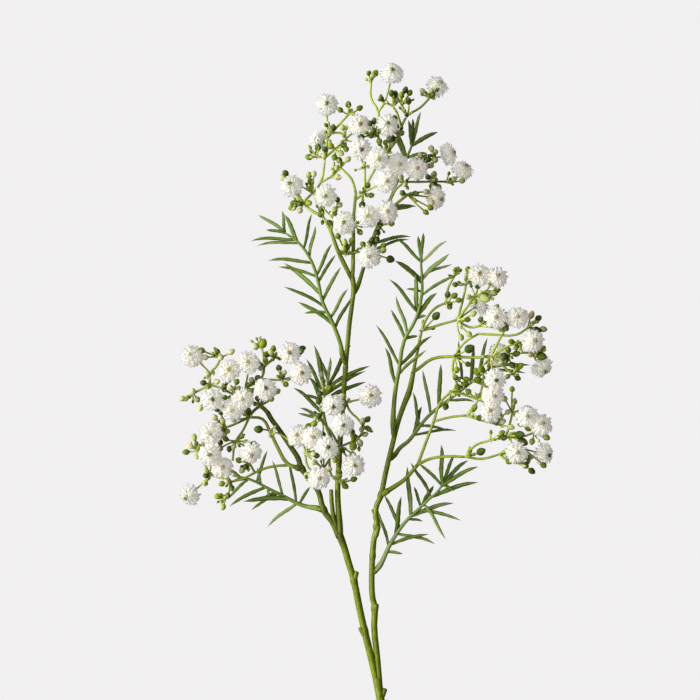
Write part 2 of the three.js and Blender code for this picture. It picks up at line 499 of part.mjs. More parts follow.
        buds: [[-61.6, 302.6, 37], [-65.4, 297.4, 38]] },
      { at: [-80.8, 306.3, 28.4], heads: [['l03', -78.8, 321.4, 41, -0.1, 0.1, 1]],
        buds: [[-77.4, 303.9, 34], [-77.4, 311, 34], [-73.4, 308.2, 35]] },
      { at: [-69.4, 318.9, 31], heads: [], buds: [[-67.6, 323.1, 34], [-70.8, 315.6, 35]] },
      { at: [-70.9, 330.3, 31], heads: [], buds: [[-69.6, 333.6, 31.6], [-75.4, 331, 31]] },
      { at: [-63.5, 324.6, 33], heads: [['l04', -54.3, 327.3, 42, 0.05, 0, 1]],
        buds: [[-64, 330.4, 34], [-66.4, 327.6, 37]] },
      { at: [-58.9, 311, 32.4], heads: [['l05', -47.4, 315, 43, 0.2, 0.1, 1]],
        buds: [[-60.6, 317.3, 36], [-56.8, 316.4, 36], [-56.4, 308.4, 35]] },
      { at: [-87.7, 302.4, 28],
        heads: [['l08', -82.4, 299.4, 40, 0, 0, 1], ['l09', -88.2, 293.6, 38, -0.2, -0.2, 1]],
        buds: [[-91.4, 306.3, 33], [-84.8, 307.4, 34]] },
      { at: [-94, 305.6, 27],
        heads: [['l02', -90.4, 316.6, 40, -0.1, 0.2, 1]],
        buds: [[-95.5, 308.6, 31]] },
      { at: [-102.1, 308.2, 26], heads: [['l07', -100.4, 299.4, 41, 0.05, 0, 1]],
        buds: [[-106.7, 310.3, 28], [-98.4, 312.6, 30.4], [-107.6, 294.4, 33]] },
      { at: [-101.9, 315, 27], heads: [['l01', -112.6, 325.4, 30, -0.4, 0.3, 1]],
        buds: [[-106.2, 316.6, 31]] },
      { at: [-95.4, 324.6, 27.6], heads: [], buds: [[-98.2, 329.4, 28], [-89.4, 328.6, 29.4]] },
      { at: [-112.2, 302.8, 23],
        heads: [],
        buds: [[-112.6, 306.4, 26], [-119, 299.7, 21], [-109.2, 298.4, 21]] },
      { at: [-78.5, 288.6, 27], heads: [],
        buds: [[-80.8, 296, 31.4], [-77.4, 294.2, 33], [-79.8, 288.8, 34]] },
      { at: [-92.6, 282.6, 29.6], heads: [['l10', -101.1, 279.3, 38, -0.2, -0.1, 1]],
        buds: [[-94.6, 287.4, 31], [-99.2, 289.6, 32]] },
      { at: [-86.6, 274.4, 28], heads: [['l13', -77.8, 267.6, 38, 0.2, -0.4, 0.8]],
        buds: [[-82.8, 277.4, 33], [-87.7, 270.4, 33], [-91.6, 268.8, 32]] },
      { at: [-66.3, 280.6, 27.6], heads: [], buds: [[-73.2, 281.3, 30]] },
      { at: [-78.5, 261.4, 28],
        heads: [],
        buds: [[-84.9, 262, 31], [-82.6, 258.4, 32], [-81, 255.6, 32.6]] },
      { at: [-89.3, 249.9, 27], heads: [['l12', -94.6, 258.7, 36, 0.1, 0.1, 1]],
        buds: [[-95.4, 247.4, 29], [-88.4, 245.4, 31]] },
      { at: [-91.6, 241.1, 24], heads: [], buds: [[-97.7, 240.4, 24], [-93.7, 234.8, 22.4]] },
      { at: [-101.5, 254.5, 25],
        heads: [['l11', -101.9, 266.3, 40, 0, 0, 1], ['l14', -114.5, 241.8, 'rests', -0.6, -0.5, 0.5]],
        buds: [[-105.6, 257, 29], [-107, 253, 26.6], [-105.6, 247.8, 23.6]] },
      { at: [-109.6, 268.2, 27], heads: [],
        buds: [[-116.6, 267.4, 26], [-114.4, 271.9, 28.4]] },
    ],
  },
  spray_centre: {
    stalks: [
      [1.1, 0.9, [-24.3, 270.2, 30.8], [-24.3, 270.8, 33.4], [-24.2, 271.4, 35]],
      [0.7, 0.62, [-24.2, 271, 34.4], [-19.2, 273, 35.6], [-12.7, 276.7, 36], [-10.4, 282.3, 36],
        [-12.7, 287, 36], [-18.2, 292.6, 35.6], [-20.2, 297.6, 35]],
      [0.7, 0.62, [-24.2, 271, 34.4], [-30.4, 263.4, 36], [-34.4, 258, 36.4], [-40, 256.4, 36.4],
        [-43.4, 259.4, 36.4], [-44.8, 266.8, 36]],
      [0.7, 0.62, [-30.4, 263.4, 36], [-29, 253.6, 37], [-23.6, 249.4, 37.6]],
      [0.7, 0.62, [-24.2, 271, 34.4], [-30, 281, 35], [-35.4, 288, 34.4], [-34.4, 296, 34],
        [-33, 303, 33.6]],
    ],
    forks: [
      { at: [-20.2, 297.6, 35],
        heads: [['c01', -28.2, 296, 44, 0.1, -0.25, 0.95], ['c02', -5.8, 301.4, 39, 0.1, 0.1, 1]],
        buds: [[-19, 298.8, 41], [-21.4, 303, 38.4]] },
      { at: [-24.2, 271.4, 35],
        heads: [['c03', -22.3, 284.2, 49, 0.1, -0.05, 1], ['c05', -31.9, 270.6, 51, 0.25, 0.1, 1],
          ['c07', -15.8, 260.2, 46, 0.2, -0.1, 1]],
        buds: [[-16.2, 266.4, 37], [-27.4, 264.2, 40], [-21.8, 264.6, 38]] },
      { at: [-12.7, 276.7, 36], heads: [],
        buds: [[-15.8, 277.2, 41.6], [-8.3, 277.6, 38.6], [-11.2, 271.6, 37.4]] },
      { at: [-10.4, 282.3, 36], heads: [], buds: [[-6.8, 287.6, 37.6], [-10.4, 284, 41.4]] },
      { at: [-44.8, 266.8, 36],
        heads: [['c04', -40.3, 276.7, 43, 0.1, 0.1, 1], ['c08', -48.4, 277.4, 38, -0.4, 0.2, 1]],
        buds: [[-38.4, 266, 39.4]] },
      { at: [-34.4, 258, 36.4], heads: [['c06', -36.8, 252.4, 47, 0.2, 0, 1]],
        buds: [[-33.8, 264.6, 41.6], [-39.6, 262.6, 41.4], [-29.6, 258.9, 41.6]] },
      { at: [-40, 256.4, 36.4], heads: [], buds: [[-45, 253.6, 37.4]] },
      { at: [-23.6, 249.4, 37.6], heads: [], buds: [[-19.4, 247, 38.4], [-17.6, 251.6, 37]] },
      { at: [-35.4, 288, 34.4], heads: [],
        buds: [[-38.4, 289.9, 37.6], [-40, 285.4, 36.8], [-34.6, 282.2, 38.4]] },
      { at: [-33, 303, 33.6], heads: [],
        buds: [[-35.3, 314, 34.4], [-36.9, 302.9, 36.4], [-28.4, 306.7, 36]] },
    ],
  },
  spray_right_upper: {
    stalks: [
      [1.6, 1.25, [17.5, 303.9, 27.1], [19, 310.4, 27.6], [20, 315.8, 28]],
      [1, 0.8, [20, 315.8, 28], [22.7, 329.6, 28.6], [24.8, 340.4, 29.2]],
      [0.8, 0.65, [24.8, 340.4, 29.2], [28.1, 348.2, 29.8], [33, 354, 30.4], [39.4, 357.3, 31]],
      [0.8, 0.65, [24.8, 340.4, 29.2], [35.4, 344, 30], [46.3, 347, 31]],
      [0.7, 0.62, [39.4, 357.3, 31], [40.8, 366, 31.4], [44.6, 373.4, 31]],
      [0.7, 0.62, [46.3, 347, 31], [48.4, 354, 32], [50.6, 363, 32], [51.6, 368.3, 32]],
      [0.7, 0.62, [46.3, 347, 31], [51.6, 353.8, 32.6], [57.1, 361.2, 33], [63.6, 364.4, 32.4]],
      [0.7, 0.62, [46.3, 347, 31], [54, 342.6, 32], [60, 343.4, 33.6]],
      [1, 0.75, [20, 315.8, 28], [23.8, 318.4, 28.2], [31.2, 323.6, 28.8], [42, 325, 29.6], [55, 324.5, 30.4],
        [66.3, 324.9, 31]],
      [0.7, 0.62, [44.3, 325, 29.8], [50.4, 333.2, 31], [59, 338.7, 32]],
      [0.7, 0.62, [59, 338.7, 32], [68.2, 338.2, 33], [81.9, 338.2, 34], [88.8, 342.4, 34]],
      [0.7, 0.62, [66.3, 324.9, 31], [70.6, 333.4, 33], [75.5, 342.4, 34.4]],
      [0.7, 0.62, [66.3, 324.9, 31], [77.3, 331.6, 33.4], [84.6, 333.4, 34]],
      [0.7, 0.62, [66.3, 324.9, 31], [77, 326.4, 31.6], [87.4, 327.4, 31], [92.9, 325.9, 30]],
      [0.7, 0.62, [66.3, 324.9, 31], [75, 318.4, 31], [79.6, 314.4, 30.6]],
      [0.7, 0.62, [44.3, 325, 29.8], [43.6, 317, 30.6], [44.6, 311.6, 31]],
    ],
    forks: [
      { at: [24.8, 340.4, 29.2], heads: [], buds: [[33.6, 350, 33]] },
      { at: [39.4, 357.3, 31], heads: [],
        buds: [[40.2, 362.6, 35], [45, 361.8, 35]] },
      { at: [44.6, 373.4, 31], heads: [], buds: [[46.6, 377.4, 30.6]] },
      { at: [51.6, 368.3, 32],
        heads: [['r01', 59.7, 373.8, 35, 0, 0.3, 1]],
        buds: [[52.4, 377, 31.4], [45.2, 368, 34]] },
      { at: [57.1, 361.2, 33], heads: [],
        buds: [[53.6, 362.8, 36.6], [59, 366.4, 28.6], [62.4, 358.2, 36.6]] },
      { at: [63.6, 364.4, 32.4], heads: [['r02', 69.7, 372.4, 35, 0.3, 0.4, 0.9]],
        buds: [[71.4, 364.4, 30], [68, 362, 33.4]] },
      { at: [46.3, 347, 31], heads: [['r03', 59.4, 356.2, 20, 0.6, 0.4, -0.3]],
        buds: [[52.5, 347.6, 35], [48.4, 336.8, 31], [54, 337.6, 34.6]] },
      { at: [60, 343.4, 33.6], heads: [['r04', 69.3, 348.2, 43, 0.1, 0.1, 1]],
        buds: [[60.4, 348.6, 36.6], [64.8, 340.4, 38], [69.3, 354.8, 35]] },
      { at: [75.5, 342.4, 34.4], heads: [['r05', 82, 348.4, 41, 0.1, 0.2, 1]],
        buds: [[75.6, 350.6, 36], [76.4, 339.4, 38.6]] },
      { at: [88.8, 342.4, 34], heads: [],
        buds: [[95, 348.3, 34], [94.7, 340.8, 34.6], [98.4, 343.4, 33]] },
      { at: [84.6, 333.4, 34], heads: [['r06', 91.4, 334.6, 39, 0.4, 0, 1]],
        buds: [[82.8, 329, 36.8], [78.6, 334, 38]] },
      { at: [77, 326.4, 31.6], heads: [],
        buds: [[76.9, 329.6, 36.4], [82.4, 323.8, 33.6], [74.2, 322.8, 35.8]] },
      { at: [92.9, 325.9, 30], heads: [['r07', 97, 318.8, 21, 0.5, -0.6, 0.4]],
        buds: [[97.9, 325.6, 32], [98.6, 330.4, 30]] },
      { at: [79.6, 314.4, 30.6],
        heads: [],
        buds: [[83.2, 311.4, 30.4], [84.4, 318.4, 32.4], [76.8, 311.4, 33.6]] },
      { at: [66.3, 324.9, 31],
        heads: [['r08', 69, 311.6, 42, 0.2, -0.2, 1], ['r14', 71.4, 326, 20.5, 0.4, 0.1, -0.9]],
        buds: [[60.4, 317.4, 34]] },
      { at: [44.3, 325, 29.8], heads: [], buds: [[53.4, 329.9, 32.6], [51.8, 319.4, 33]] },
      { at: [44.6, 311.6, 31], heads: [], buds: [[46.4, 306.6, 33], [49, 311, 33.6]] },
    ],
  },
  spray_right_lower: {
    stalks: [
      [1.4, 1, [5.4, 244.8, 21.1], [10.4, 248, 22], [15.2, 251.6, 23], [22.7, 260.2, 24]],
      [0.9, 0.7, [22.7, 260.2, 24], [27, 272, 23.6], [32.3, 286, 23.4], [36, 297, 23.6], [43, 304.4, 24.4]],
      [0.7, 0.62, [32.3, 286, 23.4], [42, 288.6, 24.6], [51.9, 289.7, 25.6]],
      [0.7, 0.62, [51.9, 289.7, 25.6], [58.9, 299.1, 26.6], [61.6, 308, 26.6]],
      [0.7, 0.62, [51.9, 289.7, 25.6], [61, 286.8, 27.4], [69.3, 284.7, 28.6]],
      [0.7, 0.62, [43, 304.4, 24.4], [52, 301.6, 26], [58.9, 299.1, 26.6]],
      [0.9, 0.7, [22.7, 260.2, 24], [30, 263.6, 24.4], [38.8, 265, 25], [51.4, 264.8, 26]],
      [0.7, 0.62, [51.4, 264.8, 26], [57, 271.6, 27], [66.4, 274.8, 28], [75.8, 277.8, 30]],
      [0.7, 0.62, [51.4, 264.8, 26], [61.2, 263.6, 27], [71.3, 266.3, 28]],
      [0.7, 0.62, [75.8, 277.8, 30], [78, 285, 30], [79.4, 291.2, 29.6]],
      [0.7, 0.62, [75.8, 277.8, 30], [84.6, 277, 30], [92.2, 279.3, 29.6]],
      [0.7, 0.62, [71.3, 266.3, 28], [77, 262.6, 29], [82.3, 261.3, 29]],
      [0.7, 0.62, [71.3, 266.3, 28], [78.4, 270.4, 27.6], [86.2, 269.4, 22]],
    ],
    forks: [
      { at: [43, 304.4, 24.4],
        heads: [],
        buds: [[47.9, 303.4, 28.4], [51.6, 308.6, 25.6], [40.4, 296, 28.4]] },
      { at: [58.9, 299.1, 26.6], heads: [['r09', 67.8, 301.4, 39, 0.2, 0, 1]],
        buds: [[65.4, 297, 26.4], [54.4, 305.4, 29.6]] },
      { at: [61.6, 308, 26.6], heads: [], buds: [[65.6, 309.2, 30.4], [58.4, 311, 28.6]] },
      { at: [51.9, 289.7, 25.6], heads: [], buds: [[60.4, 288.6, 31.6], [56.8, 294.6, 30.6]] },
      { at: [69.3, 284.7, 28.6], heads: [['r09b', 66.4, 292, 36, -0.1, 0.2, 1]],
        buds: [[73, 289.4, 28.4], [74.6, 286.4, 32.4]] },
      { at: [51.4, 264.8, 26], heads: [], buds: [[60.9, 268.2, 30]] },
      { at: [66.4, 274.8, 28], heads: [], buds: [[72.4, 274.2, 32.4], [69.6, 279, 31]] },
      { at: [79.4, 291.2, 29.6], heads: [['r10', 88, 288.9, 38, 0.1, 0.1, 1]],
        buds: [[80.8, 298, 29.6], [87.6, 295.4, 30], [78, 300.6, 32]] },
      { at: [75.8, 277.8, 30], heads: [], buds: [[83.8, 279.6, 35.6], [85, 272.8, 31.6]] },
      { at: [92.2, 279.3, 29.6], heads: [['r11', 96.4, 284.2, 36, 0.4, 0.3, 1]],
        buds: [[91.5, 273.6, 31.4], [88.6, 282, 28.6], [98.9, 276.3, 31]] },
      { at: [71.3, 266.3, 28], heads: [['r12', 82, 267.4, 40, 0.1, 0.1, 1]],
        buds: [[76.8, 258.6, 32.6], [74.6, 268.8, 34.4]] },
      { at: [82.3, 261.3, 29], heads: [], buds: [[91, 256.8, 28], [89.6, 263.6, 30.4]] },
      { at: [86.2, 269.4, 22], heads: [['r13', 98.7, 266.3, 'rests', 0.8, -0.2, 0.5]], buds: [] },
    ],
  },
};

// Heads that press against each other share one piece.
const headClusters = [
  ['t07', 't08'], ['t17', 't18'], ['l02', 'l03'], ['l08', 'l09'], ['l11', 'l12'], ['c04', 'c08'],
  ['r01', 'r02'], ['r04', 'r05'], ['r08', 'r09', 'r09b'], ['r10', 'r11'],
];

// The burr of a head: an icosahedron whose faces rise to spikes, flattened, with a flat back.
function makeBurr() {
  const faces = new THREE.IcosahedronGeometry(1, 0).attributes.position;
  const corner = (index) => new THREE.Vector3().fromBufferAttribute(faces, index);
  const back = corner(0).add(corner(1)).add(corner(2)).normalize();
  const turn = new THREE.Quaternion().setFromUnitVectors(back, upwards.clone().negate());
  const valley = (index) => corner(index).applyQuaternion(turn).setLength(headValley);
  const spots = [];
  for (let i = 0; i < faces.count; i += 3) {
    const [a, b, c] = [i, i + 1, i + 2].map(valley);
    if (i === 0) {
      spots.push(a, b, c);
    } else {
      const apex = a.clone().add(b).add(c).setLength(headTip);
      spots.push(a, b, apex, b, c, apex, c, a, apex);
    }
  }
  const geometry = new THREE.BufferGeometry().setFromPoints(spots);
  geometry.scale(1, 1, headFlattening);
  return geometry;
}

const burr = makeBurr();
const burrBack = -new THREE.Vector3().fromBufferAttribute(burr.attributes.position, 0).z;

// Places one head and says where its stalk ends.
function placeHead([name, x, y, z, ...facing], index) {
  const face = point(facing).normalize();
  const geometry = burr.clone();
  geometry.rotateZ(index * goldenAngle);
  geometry.applyQuaternion(new THREE.Quaternion().setFromUnitVectors(upwards, face));
  geometry.computeBoundingBox();
  const height = z === 'rests' ? -geometry.boundingBox.min.z - headSink : z;
  const middle = new THREE.Vector3(x, y, height);
  geometry.translate(x, y, height);
  const seat = middle.clone().addScaledVector(face, -(burrBack + seatGap));
  return { name, middle, face, seat, solid: toSolid(geometry) };
}

// The place inside the stalk that leads to a fork where one of the fork's shoots is rooted. The shoots
// start a little way apart.
function rootBefore(lines, at, index) {
  let best = { distance: Infinity };
  for (const line of lines) {
    for (let i = 1; i < line.length; i += 1) {
      const segment = new THREE.Line3(line[i], line[i - 1]);
      const nearest = segment.closestPointToPoint(at, true, new THREE.Vector3());
      const distance = nearest.distanceTo(at);
      if (distance < best.distance - sameReach) {
        best = { distance, nearest, back: segment.delta(new THREE.Vector3()).normalize() };
      }
    }
  }
  const sink = rootSink + rootSpread * ((index * goldenShare) % 1);
  return best.distance > rootReach ? at : best.nearest.addScaledVector(best.back, sink);
}

// A bud and its thin stalk, turned in one piece from the fork outwards.
function makeBud(at, middle, index) {
  const size = 1 - budSpread / 2 + budSpread * ((index * goldenShare) % 1);
  const direction = middle.clone().sub(at);
  const reach = direction.length();
  const half = budLength * size / 2;
  const profile = [
    [0, -rootPoint], [rootRadius, 0], [budTwigRadius, reach - half],
    [budRadius * size, reach - half * budShoulder], [0, reach + half],
  ];
  const outline = profile.map(([radius, along]) => new THREE.Vector2(radius, along));
  const geometry = new THREE.LatheGeometry(outline, budSides);
  const aim = new THREE.Quaternion().setFromUnitVectors(alongStem, direction.normalize());
  geometry.applyQuaternion(aim);
  geometry.translate(at.x, at.y, at.z);
  return toSolid(geometry);
}

function makeHeadStalk(at, head) {
  const neck = head.seat.clone().addScaledVector(head.face, -neckLength);
  neck.z = Math.max(neck.z, twigRadius * 2);
  const sizes = [rootRadius, twigRadius, twigRadius].map((radius) => [radius, radius]);
  return sweep([at, neck, head.seat], sizes, twigSides);
}

// ---------------------------------------------------------------- assembly

const plant = new THREE.Group();

function addPiece(name, solid, finish) {
  const mesh = new THREE.Mesh(toGeometry(solid), finish);
  mesh.name = name;
  plant.add(mesh);
}

addPiece('stem', makeStem(), finishes.stem);

for (const [name, sprig] of Object.entries(sprigs)) {
  addPiece(name, makeSprig(sprig), finishes.leaf);
}

const heads = {};
for (const [name, spray] of Object.entries(sprays)) {
  const lines = spray.stalks.map(([, , ...spots]) => spots.map(point));
  const solids = lines.map((line, i) => {
    const [start, end] = spray.stalks[i];
    const parents = lines.slice(0, i);
    const root = rootBefore(parents, line[0], i);
    return stalk([root, ...line.slice(1)], root === line[0] ? start : start * rootShare, end, stalkSides);
  });
  spray.forks.forEach((fork) => {
    const at = point(fork.at);
    for (const row of fork.heads) {
      const head = placeHead(row, Object.keys(heads).length);
      heads[head.name] = head;
      solids.push(makeHeadStalk(rootBefore(lines, at, solids.length), head));
    }
    for (const spot of fork.buds) {
      solids.push(makeBud(rootBefore(lines, at, solids.length), point(spot), solids.length));
    }
  });
  addPiece(name, fuse(solids), finishes.spray);
}

// Heads that press against each other are joined between their cores, where their spikes hide it.
for (const names of headClusters) {
  const solids = names.map((name) => heads[name].solid);
  for (let i = 1; i < names.length; i += 1) {
    const ends = [heads[names[i - 1]].middle, heads[names[i]].middle];
    solids.push(stalk(ends, bridgeRadius, bridgeRadius, stalkSides));
  }
  addPiece('head_' + names.join('_'), fuse(solids), finishes.head);
  names.forEach((name) => delete heads[name]);
}
for (const [name, head] of Object.entries(heads)) {
  addPiece('head_' + name, head.solid.subtract(ground), finishes.head);
}

// The origin is the middle of the foot print.
const extent = new THREE.Box3().setFromObject(plant);
plant.position.set(-(extent.min.x + extent.max.x) / 2, -(extent.min.y + extent.max.y) / 2, 0);
plant.updateMatrixWorld(true);

export default plant;
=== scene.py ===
import math
import random

import bmesh
import bpy
from mathutils import Euler, Matrix, Vector, kdtree


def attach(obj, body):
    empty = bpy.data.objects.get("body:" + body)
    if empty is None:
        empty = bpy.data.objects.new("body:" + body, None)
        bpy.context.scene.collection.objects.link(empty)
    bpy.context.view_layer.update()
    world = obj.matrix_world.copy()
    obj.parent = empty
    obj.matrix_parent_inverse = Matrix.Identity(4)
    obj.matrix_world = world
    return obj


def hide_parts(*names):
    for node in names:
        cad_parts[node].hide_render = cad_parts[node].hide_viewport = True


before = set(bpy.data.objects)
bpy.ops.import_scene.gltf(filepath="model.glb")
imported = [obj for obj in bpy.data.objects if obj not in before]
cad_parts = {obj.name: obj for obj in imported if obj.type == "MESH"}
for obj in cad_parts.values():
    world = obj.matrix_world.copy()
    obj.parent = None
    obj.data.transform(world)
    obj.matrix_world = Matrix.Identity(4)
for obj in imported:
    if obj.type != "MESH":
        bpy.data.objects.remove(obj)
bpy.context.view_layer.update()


# ---------------------------------------------------------------- stem
# One woody green stalk, about pencil-lead thin at the tips, that forks in two above its cut end.
# It grew in one piece: each swollen collar is where a shoot left it, and the short stubs are where
# side shoots were cut away. The skin is smooth and waxy, streaked lengthwise.

MM = 0.001
cut_end = Vector((8.2492, -250.1768, 0)) * MM

# Places are in millimetres from the cut end: across, along the stem, and up. A fourth number is the
# radius of the stalk there.
stem_limbs = [
    [  # trunk
        (12, 0, 1.9, 2.48), (9.5, 30, 1.9, 2.43), (6.3, 65, 2.05, 2.43), (2.4, 100, 3.3, 2.48),
        (0.3, 119, 4.6, 2.54), (-1.6, 130, 5.6, 2.7),
    ],
    [  # left branch
        (-1.2, 126, 5.2, 2.05), (-4.2, 139, 7, 2.11), (-6.8, 150, 8.6, 2.16), (-9.2, 160, 10.2, 2.2),
        (-11.7, 171, 11.8, 2.05), (-15.6, 190, 15, 2.16), (-18.8, 201, 16.8, 2),
        (-21.7, 211, 18.2, 2.05), (-24.4, 218, 19.3, 2.38),
    ],
    [  # right branch
        (0, 124, 5, 1.94), (-1.4, 142, 7.2, 1.84), (-3.4, 163, 9.6, 1.89), (-3.2, 173, 10.8, 2.05),
        (-4.4, 180, 11.8, 1.78), (-4.9, 192, 13.2, 1.73), (-4.4, 205, 14.8, 1.89),
        (-3.4, 216, 16.2, 1.73), (-2, 223, 17.2, 2.05), (-2.6, 229, 18, 1.67), (-1.8, 236, 18.8, 1.62),
        (0.6, 242, 19.6, 1.89), (3.4, 255, 21.4, 1.57), (7.7, 273, 23.8, 1.51),
        (10.9, 286, 25.4, 1.57), (14.2, 295.5, 26.4, 1.57), (17.3, 303.2, 27, 1.89),
    ],
    [  # upright
        (-24, 216, 19, 2.05), (-24.2, 224, 20.2, 1.94), (-25, 234, 21.6, 1.73), (-25.4, 246, 23, 1.67),
        (-24.6, 262, 25, 1.73), (-24.1, 272, 26, 1.67), (-21.8, 303, 27.6, 1.51),
        (-20.7, 318, 28, 1.57), (-19.3, 334, 28.4, 1.4), (-18.3, 345, 28.8, 1.4),
        (-16.6, 358, 29.4, 1.35), (-15.8, 367, 29.8, 1.46), (-16.6, 372.5, 30, 1.62),
    ],
    [  # tip of the upright
        (-16.7, 371.7, 30, 1.24), (-16.3, 377, 30.5, 1.24), (-16.2, 383.5, 31, 1.3),
    ],
    [  # left tip
        (-16.4, 370.6, 29.9, 1.35), (-20.4, 378.5, 31, 1.35), (-23.7, 385, 31.5, 1.4),
    ],
    [  # side limb
        (-24.4, 216.5, 19.2, 2.05), (-28.8, 226, 20.3, 1.84), (-33.6, 233, 21, 1.94),
        (-37.2, 244.5, 21.8, 1.67), (-42.6, 251.5, 22.2, 1.62), (-46.6, 257.5, 22.6, 1.89),
        (-49.2, 264, 23, 1.62), (-53.7, 271, 23.4, 1.51), (-60.8, 281.5, 24, 1.46),
        (-65.2, 287.4, 24.2, 1.51), (-67.4, 291.4, 24.2, 1.51),
    ],
]
stem_stubs = [
    [(0.8, 118.6, 4.8, 1.7), (3.2, 124.6, 5.4, 1.4)],
    [(-8.4, 155.4, 9.8, 1.8), (-11.6, 161.8, 11, 1.7)],
    [(-16.2, 188, 15, 1.75), (-14, 195.4, 16.4, 1.45)],
    [(-3.6, 167.6, 10.4, 1.85), (-2.1, 175.8, 11.8, 1.6)],
    [(-2.9, 215, 16.6, 1.65), (-0.9, 223, 18, 1.45)],
    [(-2.4, 229, 18, 1.2), (-4.5, 232.8, 18.6, 0.85)],
    [(-25.5, 219, 19.4, 1.6), (-28.4, 232, 22.4, 1.35), (-29.4, 244.8, 25.6, 1.25)],
    [(-53.2, 270.5, 23.4, 1), (-51.6, 274, 27.4, 1.5), (-51.8, 276.5, 28.6, 0.5)],
]
spurs = [
    [(-33.6, 232.6, 21, 1.5), (-37.6, 233.8, 17.6, 1.2)],
    [(-46.6, 257.5, 22.6, 1.6), (-50.6, 258.6, 23.6, 1.4)],
    [(-24.4, 268, 25.6, 1.4), (-24.3, 270, 30.4, 1.2)],
    [(-24.8, 262, 25, 1.3), (-26.2, 265.5, 19.8, 1.1)],
    [(-20.6, 320, 28, 1.3), (-22.6, 326.4, 32.2, 1.1)],
    [(-16.2, 362, 29.5, 1.2), (-13.6, 366.8, 25.4, 1)],
    [(8.3, 276, 24.2, 1.3), (8, 284.5, 29.6, 1.1)],
    [(5.4, 263, 22.4, 1.3), (8.8, 265.6, 17.4, 1.1)],
    [(-4.8, 194, 13.4, 1.4), (-0.6, 198.6, 13.2, 1.1)],
    [(0.4, 241.5, 19.6, 1.5), (5, 244.6, 21, 1.4)],
]
collars = [
    (-1.6, 130, 5.6), (-9.2, 160, 10.2), (-15.6, 190, 15), (-24.4, 217, 19.2), (-3.2, 173, 10.8),
    (-4.4, 205, 14.8), (-2, 223, 17.2), (0.6, 242, 19.6), (17.3, 303.2, 27), (-46.6, 257.5, 22.6),
    (-24.6, 262, 25), (-20.7, 318, 28), (-16.6, 372, 30),
]
shaded_limb = 6
shaded_reach = 9
collar_reach = 3.5
collar_length = 2.6
collar_flat = 0.7
collar_swelling = 1.07
dome = ((0.6, 0.75), (0.95, 0.3))  # how far out and how wide each step is, in radii of the end
root_share = 0.5
shoulder_place = 0.35
shoulder_share = 0.97
bevel_length = 0.3
bevel_share = 0.78
spur_fullness = 1.3
bearer_depth = 3
bearer_share = 0.6
tube_steps = 3
weld_distance = 0.00001
facing_down = -0.9

stem_green = (0.11, 0.15, 0.0005, 1)
stem_lime = (0.22, 0.29, 0.003, 1)
stem_blotch = (0.10, 0.13, 0.004, 1)
stem_dark = (0.05, 0.06, 0.001, 1)
stem_brown = (0.13, 0.085, 0.008, 1)
pith_pale = (0.33, 0.33, 0.12, 1)
pith_dark = (0.20, 0.19, 0.06, 1)


def place(x, y, z):
    """A place measured from the cut end, in millimetres, as a place in the frame."""
    return cut_end + Vector((x, y, z)) * MM


def run_of(rows, fullness=1):
    """Rows of x, y, z and radius as a run for tubes."""
    return [(place(x, y, z), radius * fullness) for x, y, z, radius in rows]


def tubes(runs, round_steps):
    """Round stalks as one mesh. Each run is a list of places, each with its radius in millimetres."""
    curve = bpy.data.curves.new("stalks", "CURVE")
    curve.dimensions = "3D"
    curve.bevel_depth = MM
    curve.bevel_resolution = round_steps
    curve.resolution_u = tube_steps
    curve.use_fill_caps = True
    for run in runs:
        spline = curve.splines.new("BEZIER")
        spline.bezier_points.add(len(run) - 1)
        for knot in spline.bezier_points:
            knot.handle_left_type = "AUTO"
            knot.handle_right_type = "AUTO"
        for knot, (spot, radius) in zip(spline.bezier_points, run):
            knot.co = spot
            knot.radius = radius
    holder = bpy.data.objects.new("stalks", curve)
    mesh = bpy.data.meshes.new_from_object(holder)
    bm = bmesh.new()
    bm.from_mesh(mesh)
    bmesh.ops.remove_doubles(bm, verts=bm.verts[:], dist=weld_distance)
    bmesh.ops.recalc_face_normals(bm, faces=bm.faces[:])
    # Written out and read back, so that the points are numbered in order and new ones come last.
    bm.to_mesh(mesh)
    bm.free()
    bm = bmesh.new()
    bm.from_mesh(mesh)
    bpy.data.objects.remove(holder)
    bpy.data.curves.remove(curve)
    bpy.data.meshes.remove(mesh)
    return bm


def closeness(bm, name, spots, reach):
    """Marks every point of a mesh with how close it is to the nearest of the spots, from 0 to 1."""
    tree = kdtree.KDTree(len(spots))
    for index, spot in enumerate(spots):
        tree.insert(spot, index)
    tree.balance()
    layer = bm.verts.layers.float.new(name)
    for vert in bm.verts:
        vert[layer] = max(0.0, 1 - tree.find(vert.co)[2] / (reach * MM))


def mesh_of(bm, name):
    """Writes a growing mesh out under a name and lets it go."""
    mesh = bpy.data.meshes.new(name)
    bm.to_mesh(mesh)
    bm.free()
    return mesh


def finish_piece(bm, name, materials):
    """Makes an object of a mesh, puts it on the plant's body and gives it its finishes."""
    for face in bm.faces:
        face.smooth = True
    mesh = mesh_of(bm, name)
    piece = bpy.data.objects.new(name, mesh)
    bpy.context.scene.collection.objects.link(piece)
    for material in materials:
        mesh.materials.append(material)
    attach(piece, "root")
    return piece


def new_finish(name, roughness, specular):
    """A plain finish to hang a colour and a relief on."""
    material = bpy.data.materials.new(name)
    material.use_nodes = True
    shader = material.node_tree.nodes["Principled BSDF"]
    shader.inputs["Roughness"].default_value = roughness
    shader.inputs["Specular IOR Level"].default_value = specular
    return material, material.node_tree, shader


def add_node(tree, kind, **settings):
    node = tree.nodes.new(kind)
    for name, value in settings.items():
        setattr(node, name, value)
    return node


def feed(tree, value, socket):
    """Gives a socket its value, which is a plain number or colour or comes from another node."""
    if isinstance(value, (int, float, tuple)):
        socket.default_value = value
    else:
        tree.links.new(value, socket)


def product(tree, value, factor):
    node = add_node(tree, "ShaderNodeMath", operation="MULTIPLY")
    feed(tree, value, node.inputs[0])
    feed(tree, factor, node.inputs[1])
    return node.outputs[0]


